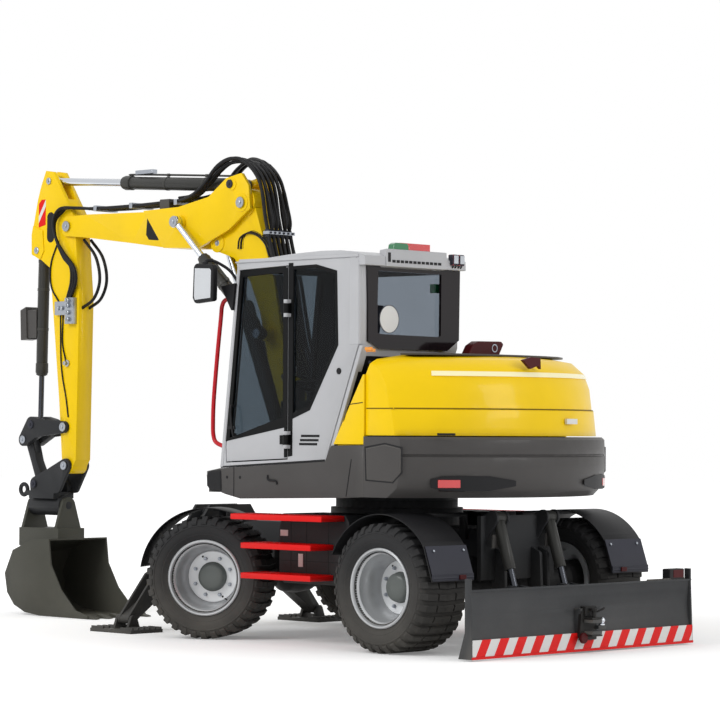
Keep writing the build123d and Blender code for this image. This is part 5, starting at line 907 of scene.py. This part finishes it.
# hoses at the knee's side, over the boom's tip to the arm, and the loops in front
arcs, tips = [], []
for k in range(4):
    y = 0.128 - 0.012 * k
    arcs.append([(1.7 - 0.02 * k, y, 3.13), (1.68 - 0.02 * k, y, 3.215 + 0.008 * k),
        (1.59 - 0.02 * k, y, 3.255 + 0.01 * k), (1.48 - 0.02 * k, y, 3.235), (1.38 - 0.015 * k, y, 3.16),
        (1.33 - 0.01 * k, y, 3.06)])
bundle("knee_arcs", "boom_lower", arcs, 0.007, 8)
for k in range(3):
    y = 0.02 + 0.04 * k
    tips.append([(3.61, y, 3.562), (3.8, y + 0.01, 3.578), (3.96, y + 0.05, 3.575),
        (4.055, 0.12 + 0.012 * k, 3.48), (4.035, 0.135, 3.33), (3.93, 0.132, 3.19 - 0.02 * k),
        (3.8 + 0.02 * k, 0.125, 3.06), (3.775 + 0.03 * k, 0.12, 2.93), (3.85 + 0.02 * k, 0.115, 2.79)])
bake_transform(bundle("tip_hoses", None, tips, 0.014))
front = [[(3.76, y, 3.3), (3.6, y, 3.14), (3.545, y, 2.94), (3.62, y, 2.78),
    (3.775, y, 2.7)] for y in (-0.04, 0.04)]
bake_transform(bundle("arm_front_hoses", None, front, 0.014))

# ---- camera, lights, floor
scene = bpy.context.scene
EYE = Vector((-15.552, 16.471, 1.626))
AHEAD = Vector((0.69577, -0.71783, 0.02488)).normalized()
ROLL = radians(0.285)
across = AHEAD.cross(Vector((0, 0, 1))).normalized()
upward = across.cross(AHEAD)
right = cos(ROLL) * across + sin(ROLL) * upward
top = -sin(ROLL) * across + cos(ROLL) * upward
camera = bpy.data.objects.new("camera", bpy.data.cameras.new("camera"))
camera.data.sensor_width = 36
camera.data.lens = 143.74
camera.data.clip_end = 200
camera.matrix_world = Matrix.Translation(EYE) @ Matrix((right, top, -AHEAD)).transposed().to_4x4()
scene.collection.objects.link(camera)
scene.camera = camera


def area(name, at, aim, size, power):
    """A soft area light that faces a point."""
    data = bpy.data.lights.new(name, "AREA")
    data.shape = "RECTANGLE"
    data.size, data.size_y = size
    data.energy = power
    lamp = bpy.data.objects.new(name, data)
    lamp.location = at
    lamp.rotation_mode = "QUATERNION"
    lamp.rotation_quaternion = (Vector(aim) - Vector(at)).to_track_quat("-Z", "Y")
    scene.collection.objects.link(lamp)


def seen_rays(tree):
    """1 on camera, glossy and transmission rays, and 0 on the rays that light."""
    rays = node(tree, "LightPath")
    straight = number(tree, "MAXIMUM", rays["Is Camera Ray"], rays["Is Glossy Ray"])
    return number(tree, "MAXIMUM", straight, rays["Is Transmission Ray"])


area("key", (3, 12, 9), (0.5, 0, 1.2), (6, 5), 820)
area("back", (-13, -3, 6), (-1, 0, 1.2), (5, 4), 420)
world = bpy.data.worlds.new("sky")
scene.world = world
world.use_nodes = True
sky = world.node_tree
height = node(sky, "SeparateXYZ", {"Vector": node(sky, "TexCoord")["Generated"]})["Z"]
light = spread(sky, height, 0.0, 0.9, 0.4, 0.8, interpolation_type="SMOOTHSTEP")
shown = node(sky, "Mix", {0: seen_rays(sky), 2: light, 3: 1.0}, data_type="FLOAT")[0]
fill(sky, sky.nodes["Background"], {"Color": (1, 1, 1, 1), "Strength": shown})
scene.view_settings.view_transform = "Standard"

floor_mesh = bpy.data.meshes.new("floor")
floor_mesh.from_pydata([(-60, -60, 0), (60, -60, 0), (60, 60, 0), (-60, 60, 0)], [], [(0, 1, 2, 3)])
floor = bpy.data.objects.new("floor", floor_mesh)
paper = material("floor_white", (238, 238, 238), 0.9, grain=20, bump=0.0, vary=0.01, spec=0.0)
tree = paper.node_tree
far = node(tree, "VectorMath", {0: node(tree, "TexCoord")["Object"]}, operation="LENGTH")["Value"]
veil = number(tree, "MULTIPLY", seen_rays(tree), spread(tree, far, 2.0, 8.0, 0.18, 0.6))
fill(tree, tree.nodes["Principled BSDF"], {"Emission Color": (1, 1, 1, 1), "Emission Strength": veil})
floor_mesh.materials.append(paper)
scene.collection.objects.link(floor)
